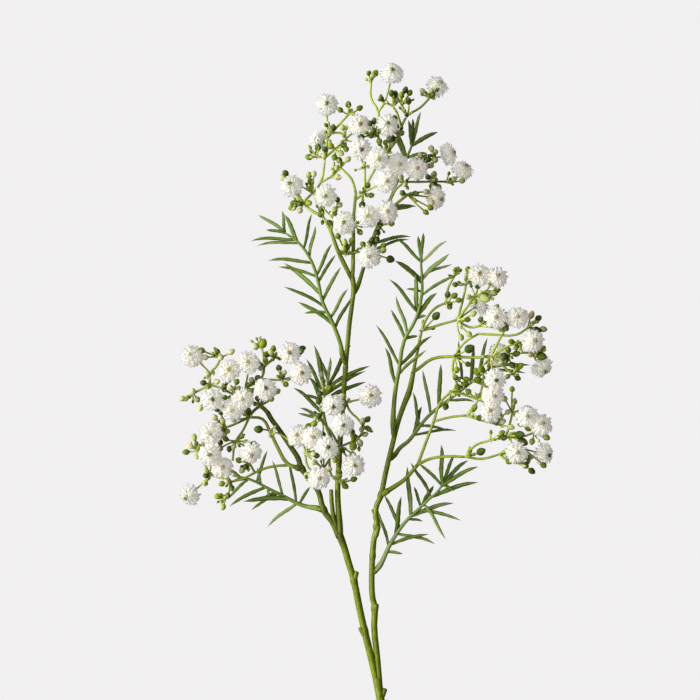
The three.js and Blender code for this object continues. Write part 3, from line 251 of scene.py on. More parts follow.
def mixed(tree, share, low, high, blend="MIX"):
    """Mixes two colours by a share."""
    mix = add_node(tree, "ShaderNodeMix", data_type="RGBA", blend_type=blend)
    feed(tree, share, mix.inputs["Factor"])
    feed(tree, low, mix.inputs["A"])
    feed(tree, high, mix.inputs["B"])
    return mix.outputs["Result"]


def stretched(tree, value, low, high):
    """Spreads the part of a value between low and high over 0 to 1."""
    node = add_node(tree, "ShaderNodeMapRange", clamp=True)
    node.inputs["From Min"].default_value = low
    node.inputs["From Max"].default_value = high
    feed(tree, value, node.inputs["Value"])
    return node.outputs["Result"]


def stored(tree, name):
    return add_node(tree, "ShaderNodeAttribute", attribute_name=name).outputs["Fac"]


def ramp(tree, share, stops):
    """Turns a share into a colour. Each stop is its place and its colour."""
    node = add_node(tree, "ShaderNodeValToRGB")
    elements = node.color_ramp.elements
    while len(elements) < len(stops):
        elements.new(0.5)
    for element, (place_on_ramp, colour) in zip(elements, stops):
        element.position = place_on_ramp
        element.color = colour
    feed(tree, share, node.inputs["Fac"])
    return node.outputs["Color"]


def relief(tree, shader, height, strength, depth):
    bump = add_node(tree, "ShaderNodeBump")
    bump.inputs["Strength"].default_value = strength
    bump.inputs["Distance"].default_value = depth
    feed(tree, height, bump.inputs["Height"])
    feed(tree, bump.outputs["Normal"], shader.inputs["Normal"])


# Streaks and blotches of a living skin. The streaks are stretched along the plant, and the blotches
# are five times their size.
streak_stretch = (1, 0.12, 1)
blotch_share = 0.2
skin_marks = bpy.data.node_groups.new("skin marks", "ShaderNodeTree")
for name, in_out in (("Size", "INPUT"), ("Streaks", "OUTPUT"), ("Blotches", "OUTPUT")):
    skin_marks.interface.new_socket(name, in_out=in_out, socket_type="NodeSocketFloat")
size = add_node(skin_marks, "NodeGroupInput").outputs["Size"]
on_plant = add_node(skin_marks, "ShaderNodeTexCoord").outputs["Object"]
along_plant = add_node(skin_marks, "ShaderNodeMapping")
along_plant.inputs["Scale"].default_value = streak_stretch
feed(skin_marks, on_plant, along_plant.inputs["Vector"])
marks_out = add_node(skin_marks, "NodeGroupOutput")
blotch_scale = product(skin_marks, size, blotch_share)
for name, where, scale, detail in (("Streaks", along_plant.outputs["Vector"], size, 3),
                                   ("Blotches", on_plant, blotch_scale, 2)):
    noise = add_node(skin_marks, "ShaderNodeTexNoise")
    noise.inputs["Detail"].default_value = detail
    feed(skin_marks, where, noise.inputs["Vector"])
    feed(skin_marks, scale, noise.inputs["Scale"])
    feed(skin_marks, noise.outputs["Fac"], marks_out.inputs[name])


def skin(tree, size):
    """Places the skin marks in a finish and returns their streaks and blotches."""
    group = add_node(tree, "ShaderNodeGroup", node_tree=skin_marks)
    group.inputs["Size"].default_value = size
    return group.outputs["Streaks"], group.outputs["Blotches"]


stem_skin, tree, shader = new_finish("stem skin", 0.38, 0.35)
streak, blotch = skin(tree, 1600)
green = mixed(tree, stretched(tree, streak, 0.35, 0.65), stem_green, stem_lime)
green = mixed(tree, stretched(tree, blotch, 0.55, 0.75), green, stem_blotch)
green = mixed(tree, stored(tree, "shaded"), green, stem_dark)
collar_share = product(tree, stored(tree, "collar"), stretched(tree, streak, 0.3, 0.6))
feed(tree, mixed(tree, collar_share, green, stem_brown), shader.inputs["Base Color"])
relief(tree, shader, streak, 0.35, 0.0002)

cut_face, tree, shader = new_finish("cut face", 0.7, 0.2)
streak, blotch = skin(tree, 4000)
pith = mixed(tree, stretched(tree, blotch, 0.4, 0.6), pith_pale, pith_dark)
feed(tree, pith, shader.inputs["Base Color"])
relief(tree, shader, blotch, 0.4, 0.0002)


def with_collars(run):
    """The same run with a short, crisp swelling wherever its radius peaks."""
    run = list(run)
    for index in range(len(run) - 2, 0, -1):
        before, (spot, radius), after = run[index - 1], run[index], run[index + 1]
        if radius > max(before[1], after[1]):
            along = (after[0] - before[0]).normalized() * MM
            swollen = radius * collar_swelling
            run[index:index + 1] = [
                (spot - along * collar_length, before[1]), (spot - along * collar_flat, swollen),
                (spot + along * collar_flat, swollen), (spot + along * collar_length, after[1]),
            ]
    return run


def rounded_off(run):
    """The same run with its last end drawn in to a dome."""
    (before, _), (end, radius) = run[-2:]
    out = (end - before).normalized() * radius * MM
    return run + [(end + out * reach, radius * width) for reach, width in dome]


def side_shoot(run):
    """The same run, widened from a narrow root and ended in a bevelled cut."""
    (root, root_radius), (follower, _) = run[:2]
    (before, _), (end, end_radius) = run[-2:]
    shoulder = root.lerp(follower, shoulder_place)
    bevel = end + (end - before).normalized() * bevel_length * MM
    return ([(root, root_radius * root_share), (shoulder, root_radius * shoulder_share)]
            + run[1:] + [(bevel, end_radius * bevel_share)])


def bearer(foot):
    """A place inside the spur or limb end that bears a shoot whose own foot is given."""
    ends = [(Vector(rows[-2][:3]), Vector(rows[-1][:3])) for rows in spurs + stem_limbs]
    root, tip = min(ends, key=lambda pair: (pair[1] - foot).length)
    depth = min((root - tip).length * bearer_share, bearer_depth)
    return place(*(tip + (root - tip).normalized() * depth))


stem_runs = [rounded_off(with_collars(run_of(rows))) for rows in stem_limbs]
stem_runs += [side_shoot(run_of(rows)) for rows in stem_stubs]
stem_runs += [side_shoot(run_of(rows, spur_fullness)) for rows in spurs]
bm = tubes(stem_runs, round_steps=4)
closeness(bm, "collar", [place(*spot) for spot in collars], collar_reach)
closeness(bm, "shaded", [place(*row[:3]) for row in stem_limbs[shaded_limb]], shaded_reach)
bmesh.ops.bisect_plane(bm, geom=bm.verts[:] + bm.edges[:] + bm.faces[:], plane_co=(0, 0, 0),
                       plane_no=(0, 0, 1), clear_inner=True)
bmesh.ops.holes_fill(bm, edges=[edge for edge in bm.edges if edge.is_boundary], sides=0)
# Cuts and caps are the faces with more than four corners. Those that lie on the table keep the skin.
for face in bm.faces:
    if len(face.verts) > 4 and face.normal.z > facing_down:
        face.material_index = 1
stalk = finish_piece(bm, "stem_look", [stem_skin, cut_face])
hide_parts("stem")


# ---------------------------------------------------------------- leafy sprigs
# Seven side shoots with narrow, pointed leaves in pairs. Each leaf is a thin blade with a raised
# rib along its middle and a faintly toothed edge, and it grows straight out of the shoot.

# An axis is the places along a shoot. A leaf is the x and y of its root, the x and y of its tip, and
# half its width. A sprig is the radii of its shoot's foot and tip, its axis and its leaves.
upper_left_axis = [
    (-22.8, 327, 32.6), (-23.6, 332, 34), (-28.8, 346, 35.6), (-34.2, 357, 36.2), (-38.1, 374, 36.4),
    (-42.6, 385, 36), (-50, 394.4, 34.5), (-56.8, 399, 33),
]
upper_left_leaves = [
    (-57, 398.6, -73.2, 410, 1), (-57, 398, -68.4, 401, 0.9), (-58, 398, -58.8, 412.4, 0.9),
    (-50.4, 393.2, -57, 410, 1.2), (-54, 390.2, -77.4, 394.4, 1), (-51.6, 390.8, -73.8, 391.4, 0.9),
    (-46.2, 389, -40.8, 410.6, 0.9), (-42, 384.2, -38.8, 403.4, 1), (-42.6, 380.6, -67.2, 382.4, 1),
    (-38.4, 372.8, -61.2, 378.8, 0.9), (-35.4, 362, -57.6, 381.2, 1.3), (-36.6, 374, -28.8, 392.6, 1),
    (-33, 370.4, -26.6, 386, 0.9), (-31.2, 359, -23.4, 378.8, 1), (-33, 354.2, -57.6, 366.8, 1),
    (-29.4, 343.4, -49.2, 357.8, 1.3), (-34, 350, -45.6, 351, 0.8), (-28.2, 348.8, -19.2, 365.6, 1),
    (-25.2, 342.2, -17.4, 360.2, 1),
]
behind_centre_axis = [
    (-26.4, 266, 19.2), (-28, 272, 17), (-33, 286, 16), (-34, 299, 16.4), (-30.6, 308.6, 17),
]
behind_centre_leaves = [
    (-30.6, 308.6, -17.4, 332, 1.3), (-33, 303.6, -39.6, 332, 1.3), (-31, 308, -37.2, 327.6, 1),
    (-31.2, 307, -29.8, 324.8, 1), (-34, 301, -44.4, 323.6, 1), (-31, 306, -6, 319.4, 1.2),
    (-33.6, 302, -8.4, 316.4, 1), (-34, 298, -8.4, 309.8, 1.2), (-34, 297, -42.6, 312.8, 1.2),
    (-34, 299, -46.5, 301.4, 0.9), (-33.6, 290, -52.2, 306.2, 1.1), (-33, 286, -48.3, 294.2, 1),
    (-33, 285, -49.5, 291, 0.9),
]
lower_left_axis = [
    (-37.9, 233.9, 17.2), (-43, 234.6, 14.6), (-48, 236, 13.6), (-58.8, 241.4, 12.6), (-67.2, 245.6, 12.2),
    (-78, 251, 12), (-88.8, 253.4, 12),
]
lower_left_leaves = [
    (-51.6, 233, -67.8, 222.2, 1), (-54.6, 237.8, -82.2, 237.8, 1.4), (-61.8, 241.4, -77.7, 232.4, 0.9),
    (-69.6, 244.4, -90.6, 234.8, 1.1), (-79.2, 249.8, -91.8, 239, 0.9), (-81, 248.6, -88.8, 249.8, 0.9),
    (-50.4, 237.2, -54.6, 261.8, 0.9), (-57.6, 242.6, -64.8, 262.4, 0.9), (-48, 237.2, -42, 246.8, 0.9),
    (-70.8, 249.2, -73.8, 258.2, 0.9), (-73.8, 250, -67.8, 268.4, 0.9), (-67.8, 245, -66.6, 239.6, 0.8),
    (-62, 243, -70, 240, 0.9), (-84, 252, -93, 258, 0.9),
]
tall_axis = [
    (7.9, 285, 30), (8.2, 294, 33), (9.6, 307.4, 34.6), (11.4, 317, 35), (14.4, 334.4, 35.4),
    (21.5, 347.6, 36), (25, 362, 36), (25.2, 371.6, 36), (24.6, 381.2, 35.6), (25.2, 388, 35.4),
]
tall_leaves = [
    (24.6, 382.4, 22.8, 397.4, 1.1), (25.2, 386, 25.8, 399.2, 1), (22.8, 381.8, 9, 396.2, 1),
    (25.8, 381.2, 40.2, 394.4, 0.9), (27, 371, 41.4, 386.6, 1.3), (29.4, 373.4, 43.2, 380.3, 0.8),
    (26.1, 361.4, 48.6, 375.2, 0.9), (24, 371, 9, 382.4, 1.1), (20.7, 368.6, 9.6, 381.8, 0.9),
    (23.4, 351.2, 21, 374.6, 1.3), (24, 363.8, 15.6, 365.6, 0.8), (21.9, 351.8, 5.4, 371.3, 1),
    (24.6, 348.5, 34.2, 363.2, 1.4), (22, 348, 27.6, 349.6, 1), (14.4, 338.6, 9.6, 361.4, 1),
    (13.2, 336.2, 6.6, 353.3, 1), (11.1, 319.4, -2.4, 344, 0.9), (9, 308, 3, 330.5, 1.1),
    (13.2, 319.4, 31.2, 337.4, 1.1), (12, 313.4, 27.6, 329, 0.9), (17.4, 334.4, 22.8, 337.4, 0.9),
]
top_axis = [
    (-13.4, 367.3, 25), (-10.6, 376, 22.8), (-2.4, 401, 21.4), (5.4, 417.8, 21), (15, 441.8, 20.6),
    (18, 449, 20.4), (19.8, 453.2, 20.4),
]
top_leaves = [
    (17.4, 452.6, 17.1, 467.3, 1), (18.6, 451.4, 19.6, 468.2, 1.1), (19.8, 453.2, 24.6, 472.4, 1),
    (20.4, 451.4, 34.8, 460, 1.3), (14.4, 444.8, 9.6, 461.6, 1), (12.6, 445.4, 8.4, 457.4, 1),
    (16.2, 444.2, 28.2, 447.4, 1), (6.6, 412.7, 22, 415.4, 1), (6, 410, 19.2, 414.8, 0.9),
    (-2.7, 392, 18.6, 397.1, 1), (-3.6, 387.8, 17.7, 395.3, 0.9),
]
right_axis = [
    (9.1, 266.1, 16.8), (12, 270, 14.6), (17.4, 274.4, 13.8), (23.8, 282.8, 13.4), (30, 290, 13),
    (40, 298, 12.8), (48, 303.8, 12.6), (57, 311, 12.4), (66, 318, 12.4),
]
right_leaves = [
    (19.2, 278.6, 25.2, 295, 1.3), (22.8, 284, 19.8, 303.8, 0.9), (29, 292.4, 25.8, 317, 1),
    (34.8, 295.4, 36.6, 320.6, 1.2), (24.6, 282.8, 38.8, 281.6, 0.9), (20.4, 277.4, 46.2, 280.4, 0.9),
    (42, 298, 57, 297.8, 0.9), (54.4, 309, 57, 330.2, 1.2), (48.6, 306, 47.4, 335, 0.9),
    (58.5, 313, 64.8, 336.2, 1), (66, 318, 67.2, 332, 0.9), (66, 318, 74.1, 332, 0.9),
    (66, 318, 90.6, 320, 1), (63.6, 316, 88, 315, 0.9),
]
lower_right_axis = [
    (-0.3, 198.9, 13.2), (2, 203, 13.2), (4.8, 209.3, 13), (9.4, 217.4, 12.6), (15.6, 225.8, 12.2),
    (22.8, 232.7, 11.8), (29.4, 239, 11.4), (35.4, 244.4, 11.2), (38.2, 249.6, 11.2),
]
lower_right_leaves = [
    (4.2, 210.8, -1.2, 233, 1), (7.2, 218, 12.9, 240.8, 1.3), (10.8, 222.2, 2.4, 242, 1),
    (4.2, 207.2, 13.8, 206.3, 0.9), (7.2, 210.8, 29.4, 218, 1), (11.4, 217.4, 33.3, 212, 1),
    (17.4, 230, 16.6, 258.8, 1.4), (19.8, 227.6, 44.4, 236.6, 1.3), (24, 231.2, 48.6, 226.4, 1),
    (24, 235.4, 20.4, 246.8, 0.9), (24.6, 236, 32.4, 247.4, 1.2), (27, 235.4, 39.6, 215, 1),
    (29.4, 241.4, 18.6, 261.2, 1), (31.8, 239.6, 59.1, 249.2, 1.3), (36, 246.8, 59.1, 258.8, 1.2),
    (35.4, 248.6, 23.4, 260.6, 1), (36.6, 249.2, 36.9, 272, 1.3), (38, 249.6, 45, 266, 1),
    (37.2, 249, 53.2, 262.4, 1.2), (38.4, 247.4, 45, 244.1, 0.9), (18, 225.8, 25.8, 225.8, 0.8),
]
sprigs = {
    "leaves_upper_left": (1.1, 0.55, upper_left_axis, upper_left_leaves),
    "leaves_behind_centre": (1, 0.5, behind_centre_axis, behind_centre_leaves),
    "leaves_lower_left": (1.2, 0.5, lower_left_axis, lower_left_leaves),
    "leaves_tall": (1.2, 0.5, tall_axis, tall_leaves),
    "leaves_top": (1, 0.5, top_axis, top_leaves),
    "leaves_right": (1.1, 0.5, right_axis, right_leaves),
    "leaves_lower_right": (1.2, 0.5, lower_right_axis, lower_right_leaves),
}
golden_angle = 2.4
leaf_widths = (0.6, 0.8, 0.92, 1, 1, 0.96, 0.9, 0.76, 0.5, 0.04)
leaf_teeth = (0.93, 1.07)
leaf_fullness = 1.1
leaf_thickness = 0.35
leaf_arch = 0.05
leaf_lift = 0.2
leaf_fold = 0.22
leaf_lean = 0.45
leaf_bend = 0.025
leaf_rib = 0.55
shoot_rib = 0.5
shoot_fullness = 1.25
root_fullness = 1.45
# How pale each sprig's shoot is drawn: partly a whitish bloom on its skin, partly painted sheen along the
# shoot.
shoot_bloom_and_sheen = {"leaves_lower_right": 0.75, "leaves_right": 0.35}
usual_bloom_and_sheen = 0.1
fresh_leaf = 0.12
pale_leaf = 0.55
pale_leaf_share = 0.16

leaf_dark = (0.009, 0.032, 0.0005, 1)
leaf_green = (0.085, 0.165, 0.001, 1)
leaf_grey = (0.30, 0.40, 0.15, 1)
rib_green = (0.26, 0.38, 0.05, 1)
underside_greyness = 0.3

leaf_skin, tree, shader = new_finish("leaf blade", 0.45, 0.17)
streak, blotch = skin(tree, 900)
green = mixed(tree, stretched(tree, blotch, 0.35, 0.7), leaf_dark, leaf_green)
green = mixed(tree, stored(tree, "rib"), green, rib_green)
# Paleness: some leaves are paler of their own, and the shoots carry a pale bloom with painted sheen.
green = mixed(tree, stored(tree, "paleness"), green, leaf_grey)
green = mixed(tree, product(tree, stored(tree, "underside"), underside_greyness), green, leaf_grey)
feed(tree, green, shader.inputs["Base Color"])
relief(tree, shader, streak, 0.3, 0.0002)


def tapered(spots, start, end):
    """A run for tubes whose radius changes evenly from the start to the end."""
    last = len(spots) - 1
    return [(place(*spot), start + (end - start) * index / last) for index, spot in enumerate(spots)]


def nearest_on(line, x, y):
    """The place on a sprig's shoot that lies nearest to x, y seen from above."""
    best, best_gap = None, math.inf
    for start, end in zip(line, line[1:]):
        run = Vector((end.x - start.x, end.y - start.y))
        away = Vector((x - start.x, y - start.y))
        share = min(max(run.dot(away) / run.dot(run), 0), 1)
        spot = start.lerp(end, share)
        gap = math.hypot(spot.x - x, spot.y - y)
        if gap < best_gap:
            best, best_gap = spot, gap
    return best


def grow_leaf(bm, root, tip, half_width, lean, bend, pale, layers):
    """One blade: a grid of points bent along its middle line, then given its thickness."""
    last = len(leaf_widths) - 1
    length = (tip - root).length
    grid = bmesh.ops.create_grid(bm, x_segments=2, y_segments=last, size=0.5)["verts"]
    along = (tip - root).normalized()
    side = along.cross(Vector((0, 0, 1))).normalized()
    side = side * math.cos(lean) + along.cross(side) * math.sin(lean)
    top = side.cross(along)
    for vert in grid:
        share = vert.co.y + 0.5
        row = round(share * last)
        across = vert.co.x * 2
        middle = root.lerp(tip, share)
        middle.y += leaf_arch * length * 4 * share * (1 - share)
        middle += side * bend * length * math.sin(2 * math.pi * share)
        width = half_width * leaf_fullness * leaf_widths[row] * leaf_teeth[row % 2]
        vert[layers["rib"]] = leaf_rib * (1 - abs(across))
        vert[layers["paleness"]] = pale
        vert.co = middle + side * across * width + top * abs(across) * leaf_fold * width
    faces = list({face for vert in grid for face in vert.link_faces})
    grown = bmesh.ops.solidify(bm, geom=faces, thickness=leaf_thickness)["geom"]
    for element in grown:
        if isinstance(element, bmesh.types.BMVert):
            element[layers["underside"]] = 1


for number, (name, (start, end, axis, leaves)) in enumerate(sprigs.items()):
    chance = random.Random(100 + number)
    line = [Vector(spot) for spot in axis]
    run = tapered(axis, start * shoot_fullness, end * shoot_fullness)
    run[0] = (run[0][0], start * root_fullness)
    run.insert(0, (bearer(line[0]), start * root_fullness))
    bm = tubes([run], round_steps=2)
    layers = {key: bm.verts.layers.float.new(key) for key in ("rib", "paleness", "underside")}
    for vert in bm.verts:
        vert[layers["rib"]] = shoot_rib
        vert[layers["paleness"]] = shoot_bloom_and_sheen.get(name, usual_bloom_and_sheen)
    blades = bmesh.new()
    blade_layers = {key: blades.verts.layers.float.new(key) for key in layers}
    for index, (root_x, root_y, tip_x, tip_y, half_width) in enumerate(leaves):
        root = nearest_on(line, root_x, root_y)
        tip = Vector((tip_x, tip_y, root.z))
        tip.z += leaf_lift * (tip - root).length * math.sin(golden_angle * index)
        pale = pale_leaf if chance.random() < pale_leaf_share else fresh_leaf * chance.random()
        lean = chance.uniform(-leaf_lean, leaf_lean)
        bend = chance.uniform(-leaf_bend, leaf_bend)
        grow_leaf(blades, root, tip, half_width, lean, bend, pale, blade_layers)
    bmesh.ops.scale(blades, vec=(MM, MM, MM), verts=blades.verts[:])
    bmesh.ops.translate(blades, vec=cut_end, verts=blades.verts[:])
    bmesh.ops.recalc_face_normals(blades, faces=blades.faces[:])
    blade_mesh = mesh_of(blades, "blades")
    bm.from_mesh(blade_mesh)
    bpy.data.meshes.remove(blade_mesh)
    shoot = finish_piece(bm, name + "_look", [leaf_skin])
    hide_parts(name)


# ---------------------------------------------------------------- sprays of branchlets and buds
# Five sprays of thin branchlets that fork again and again, with papery bracts at the forks. Every
# shoot ends in a round bud, green while it is young and cream before it opens, or in a flower head.

# A limb is its first and last radius and the places along it. A twig is the places along it, because
# all twigs are as thick as one another. A fork is its place, its heads and its buds: a head is its
# name, the place of its middle, the way it faces and the letter of its eye. A bud is its step from the
# fork and the letter of its tone, which is a capital for a bigger bud.
top_limbs = [
    (1.15, 0.8, (-23.9, 385.4, 31.6), (-26.6, 392, 32.4), (-29.4, 400, 32), (-34.5, 408.7, 30.5),
     (-42.5, 413.5, 27.5), (-46.1, 418, 25)),
    (0.9, 0.8, (-25.2, 388.6, 32), (-20.4, 386.6, 31.8), (-16.2, 387.6, 31.4)),
    (1.1, 0.8, (-16.2, 383.9, 31), (-15.9, 395, 32), (-15.9, 406.4, 33), (-14.5, 423.1, 34)),
    (0.75, 0.62, (-14.5, 423.1, 34), (-17.2, 431.6, 35), (-23.7, 438.1, 35)),
    (0.75, 0.62, (-14.9, 419, 33.8), (-10.3, 423.1, 35), (-9.2, 438.1, 38)),
    (1, 0.8, (-16.2, 387, 31.2), (-8, 392, 31.4), (0, 403, 31), (5, 412, 30.6), (16.6, 422.3, 29)),
]
top_twigs = [
    [(-46.1, 418, 25), (-40.6, 423.2, 25.5), (-35.6, 429.6, 27), (-33.2, 443, 30), (-31.9, 451.7, 31),
     (-31.6, 456.2, 32)],
    [(-31.6, 456.2, 32), (-25, 463.6, 33), (-19, 470.1, 33)],
    [(-32.8, 444.6, 30.4), (-27, 449.4, 33), (-20.9, 455.2, 35)],
    [(-20.9, 455.2, 35), (-22.8, 458.6, 35.4), (-27.8, 459.2, 35)],
    [(-33, 444.8, 30.2), (-38, 444.8, 30)],
    [(-35.6, 429.6, 27), (-28.2, 433.6, 29)],
    [(-29.4, 400, 32), (-28, 408, 36)],
    [(-10.3, 423.1, 35), (-4.4, 435, 37), (3.2, 446.2, 37)],
    [(3.2, 446.2, 37), (9.1, 453.3, 36.4), (11.2, 456.7, 36), (12.9, 463, 35)],
    [(12.9, 463, 35), (7.8, 474.8, 36), (3, 477.3, 37)],
    [(12.9, 463, 35), (16.3, 469.3, 34), (24.2, 474.4, 31), (29.8, 480.3, 29)],
    [(16.3, 469.3, 34), (12.9, 476, 36)],
    [(3.2, 446.2, 37), (-0.8, 455, 36.4), (-1, 468.2, 36), (-1, 471.8, 36), (-5.4, 480, 35),
     (-5.4, 489.5, 34)],
    [(-1, 471.8, 36), (3, 477.3, 37)],
    [(-0.9, 456, 36.4), (-3, 459, 41)],
    [(-8, 392, 31.4), (-2.2, 386.4, 34)],
    [(5, 412, 30.6), (8.6, 424, 32.4), (15, 429.3, 32), (22.5, 429.8, 30), (30.5, 430.1, 24),
     (40, 430.4, 13)],
    [(22.5, 429.8, 30), (25.9, 439.8, 31), (33, 444.4, 29)],
]
top_forks = [
    ((-31.6, 456.2, 32), [("t03", -31.8, 476, 31, 0, 0.25, 1, "G")], []),
    ((-33.2, 443, 30), [("t20", -36.2, 455.6, 17, -0.6, 0.4, -0.2, "b")], [(0, 6.6, 5.4, "d"),
     (-0.2, 2.4, 5, "p")]),
    ((-20.9, 455.2, 35), [("t04", -12.4, 463.4, 39, 0.2, 0.3, 1, "o")], [(-1.5, 7.2, 2, "p"),
     (0.6, -6, 3.5, "g")]),
    ((-46.1, 418, 25), [("t14", -52.8, 427.4, 33, -0.35, 0.4, 1, "G")], [(-6.2, -0.6, -5, "g"),
     (-7.4, -3.6, -3, "o"), (-2, -1.3, 3.6, "d"), (-2, -5.3, 0, "c"), (3.5, -0.8, 5, "o"),
     (-12.2, 14.8, 0, "p"), (-3.7, -0.8, -0.7, "d")]),
    ((-34.5, 408.7, 30.5), [("t15", -32.6, 421.2, 43, 0, 0, 1, "g")], [(-0.9, 4.5, 4.1, "d"),
     (-1.1, 1.5, 4.1, "d"), (4.3, -3.5, 4.5, "d")]),
    ((-28, 408, 36), [("t16", -21.7, 404.9, 46, -0.05, 0.1, 1, "g")], [(2.6, 11.1, 1.6, "d"),
     (4, 8, 2, "c"), (-0.7, 2.2, 5, "p"), (5.6, 2.4, 2, "p"), (-9.4, 10.2, 1, "p"), (0.8, 5.2, 3.5, "p")]),
    ((-20.4, 386.6, 31.8), [], [(-4.8, 10.7, 6.2, "g"), (-0.8, 7.2, 7.2, "p"), (-1.3, 3.2, 5.2, "p"),
     (3.6, 8.2, 7.2, "g"), (8.2, 2, 7.7, "d")]),
    ((-40.6, 423.2, 25.5), [], [(1, 11.6, 0.9, "c"), (-2, 10.9, -0.5, "p"), (-1.3, 7.2, 0.5, "g"),
     (-16.2, 12.1, -1.5, "d"), (2.5, -2, 8, "p")]),
    ((-28.2, 433.6, 29), [], [(2.3, 4.7, 1, "p"), (3, -1, 2, "c")]),
    ((-38, 444.8, 30), [], [(0.8, 5.8, 2, "d"), (-4.7, 0, -1, "g")]),
    ((-27, 449.4, 33), [], [(-2.5, 2, 4, "o"), (5.3, 2.3, 5, "d"), (3.8, -2.7, 6, "p"),
     (-0.4, -5, 2, "g")]),
    ((-27.8, 459.2, 35), [], [(-2.5, 0.4, 2, "c"), (-0.2, 3.3, 1, "d")]),
    ((-19, 470.1, 33), [], [(0, 6.1, 1, "d"), (6.9, 4, 0.6, "g"), (-5, 2.9, 2.5, "g")]),
    ((-23.7, 438.1, 35), [], [(-0.7, 4.7, 0, "d"), (4.6, 5.2, 2, "p")]),
    ((-9.2, 438.1, 38), [("t06", -12, 449.6, 50, 0.29, -0.24, 1, "D"),
     ("t07", -1.2, 443, 53, 0.15, 0, 1, "y")], []),
    ((-10.3, 423.1, 35), [("t12", 3.8, 429.8, 55, 0.1, 0, 1, "b")], [(3, 4.5, 5, "d"), (5, -1.5, 5, "d"),
     (-0.5, -7.5, 3, "d")]),
    ((-15.9, 404, 32.8), [("t17", -7.4, 408.9, 49, 0, 0.1, 1, "y")], [(3.9, -4.4, 3.2, "g"),
     (-0.9, -4.2, 4.7, "c"), (2.7, 3.7, 4.2, "o")]),
    ((3.2, 446.2, 37), [("t08", 10.6, 440.2, 46, 0.3, 0, 0.8, "p")], [(3.8, 6.3, 5, "p"), (0, 7.1, 6, "o"),
     (1.7, -2.8, 6, "g")]),
    ((-3, 459, 41), [("t05", 4.4, 463.4, 47, 0.1, 0.3, 1, "G")], [(-0.5, 7.1, 4, "d"),
     (-3.2, 5.7, 5.4, "d"), (-1.1, 1.2, 6.6, "d"), (-2.4, -1.7, 3, "d"), (2.6, -5.3, 5, "g"),
     (-8.4, -2.7, 4.8, "d"), (3.5, 1, 5.8, "d"), (4.7, 4.4, 5.3, "d")]),
    ((11.2, 456.7, 36), [], [(-2.5, 10.9, 3.4, "d"), (1.7, 2.3, 5, "g"), (-4.8, -1.3, 6.4, "D"),
     (-1.2, 6.3, 4.2, "d")]),
    ((3, 477.3, 37), [("t01", 7.2, 494.6, 36, 0.1, 0.57, 0.8, "G")], [(-2.3, 2.3, 2, "d")]),
    ((7.8, 474.8, 36), [], [(-0.8, 8, 2.6, "d"), (1.3, 7.6, 0, "d")]),
    ((12.9, 476, 36), [], [(-0.2, 6, 2, "o"), (2.3, 8.9, 0, "d"), (5, 7.2, -1, "g")]),
    ((16.3, 469.3, 34), [], [(0.8, 8.9, 3, "d")]),
    ((29.8, 480.3, 29), [("t02", 34.2, 487.2, 25, 0.5, 0.6, 0.5, "p")], [(-4.3, 4.2, 1, "c"),
     (1.6, 1.5, 4, "d"), (1.2, 3.7, 2.5, "p")]),
    ((-5.4, 489.5, 34), [], [(2.7, 5.5, -0.4, "g"), (1, 4, 2, "p")]),
    ((-2.2, 386.4, 34), [("t19", -6.6, 384.8, 46, 0, 0, 1, "b")], [(-4.8, 5.4, 6, "c"), (-2.6, 8.4, 4, "d"),
     (4.2, 5, 3, "g"), (4.2, 2.4, 4, "p"), (8.5, -3, 1, "D"), (-8.1, 5.9, 5.5, "g")]),
    ((0, 403, 31), [("t18", 4.2, 411.6, 47, 0.1, 0.1, 1, "b")], [(7, 1.7, 7, "o"), (-2.2, -3.7, 8, "d"),
     (-1.9, -7.8, 7, "d")]),
    ((16.6, 422.3, 29), [("t13", 33.5, 420.2, 24, 0.8, -0.15, 0.5, "b")], [(4.8, 0.5, 3, "d"),
     (-2.2, -0.5, 4, "p"), (11.2, 1.6, 2, "b"), (13.9, -8, 0, "o"), (11, -10.7, 2, "o"),
     (-3.2, 0.9, 6, "g")]),
    ((15, 429.3, 32), [("t09", 22, 437.3, 44, 0.1, 0.1, 1, "b")], [(0, -1.1, 5, "c"), (-2.7, 3.5, 3, "c")]),
    ((25.9, 439.8, 31), [], [(-1.8, 5.9, 3, "c"), (-4.7, 3.1, 4, "c"), (1.9, -0.9, 4, "c"),
     (4.6, -0.3, 1, "b"), (-1.2, 2.1, 3.5, "o")]),
    ((33, 444.4, 29), [("t10", 40.6, 446.4, 24, 0.85, 0.25, 0.2, "b")], [(-2.2, 5.6, 2, "c"),
     (0.3, 3.4, 4, "p"), (0.1, -1.5, 3.6, "p"), (-4.1, -1.2, 4.3, "d")]),
    ((30.5, 430.1, 24), [], [(-1.8, 2.9, 4, "d"), (1.9, 4.3, 0.6, "c"), (4.8, -3.2, -4, "c"),
     (1.7, 1.9, 2.3, "b"), (0.6, -12.6, 6, "c")]),
    ((40, 430.4, 13), [("t11", 49.8, 437.2, 6.1, 0.5, 0.6, 0.35, "b")], [(4.8, 1.6, 3.4, "c"),
     (9.6, 0.5, -1, "c")]),
]
left_limbs = [
    (1.25, 0.9, (-67.9, 291.9, 24.5), (-72, 295.5, 26), (-78.5, 299, 28), (-80.8, 306.3, 28.4)),
    (0.9, 0.8, (-72, 295.5, 26), (-76.2, 292.1, 26.4), (-78.5, 288.6, 27)),
    (1.2, 0.75, (-51.05, 258.7, 23.7), (-55.4, 260.6, 25), (-61, 269.6, 26.4), (-66.3, 280.6, 27.6),
     (-70.5, 287.5, 27.6), (-78.5, 288.6, 27)),
    (0.8, 0.62, (-54.2, 259.9, 24.6), (-66.3, 258.7, 27), (-75.1, 255.3, 27.6), (-82, 251.8, 27.6),
     (-89.3, 249.9, 27)),
]
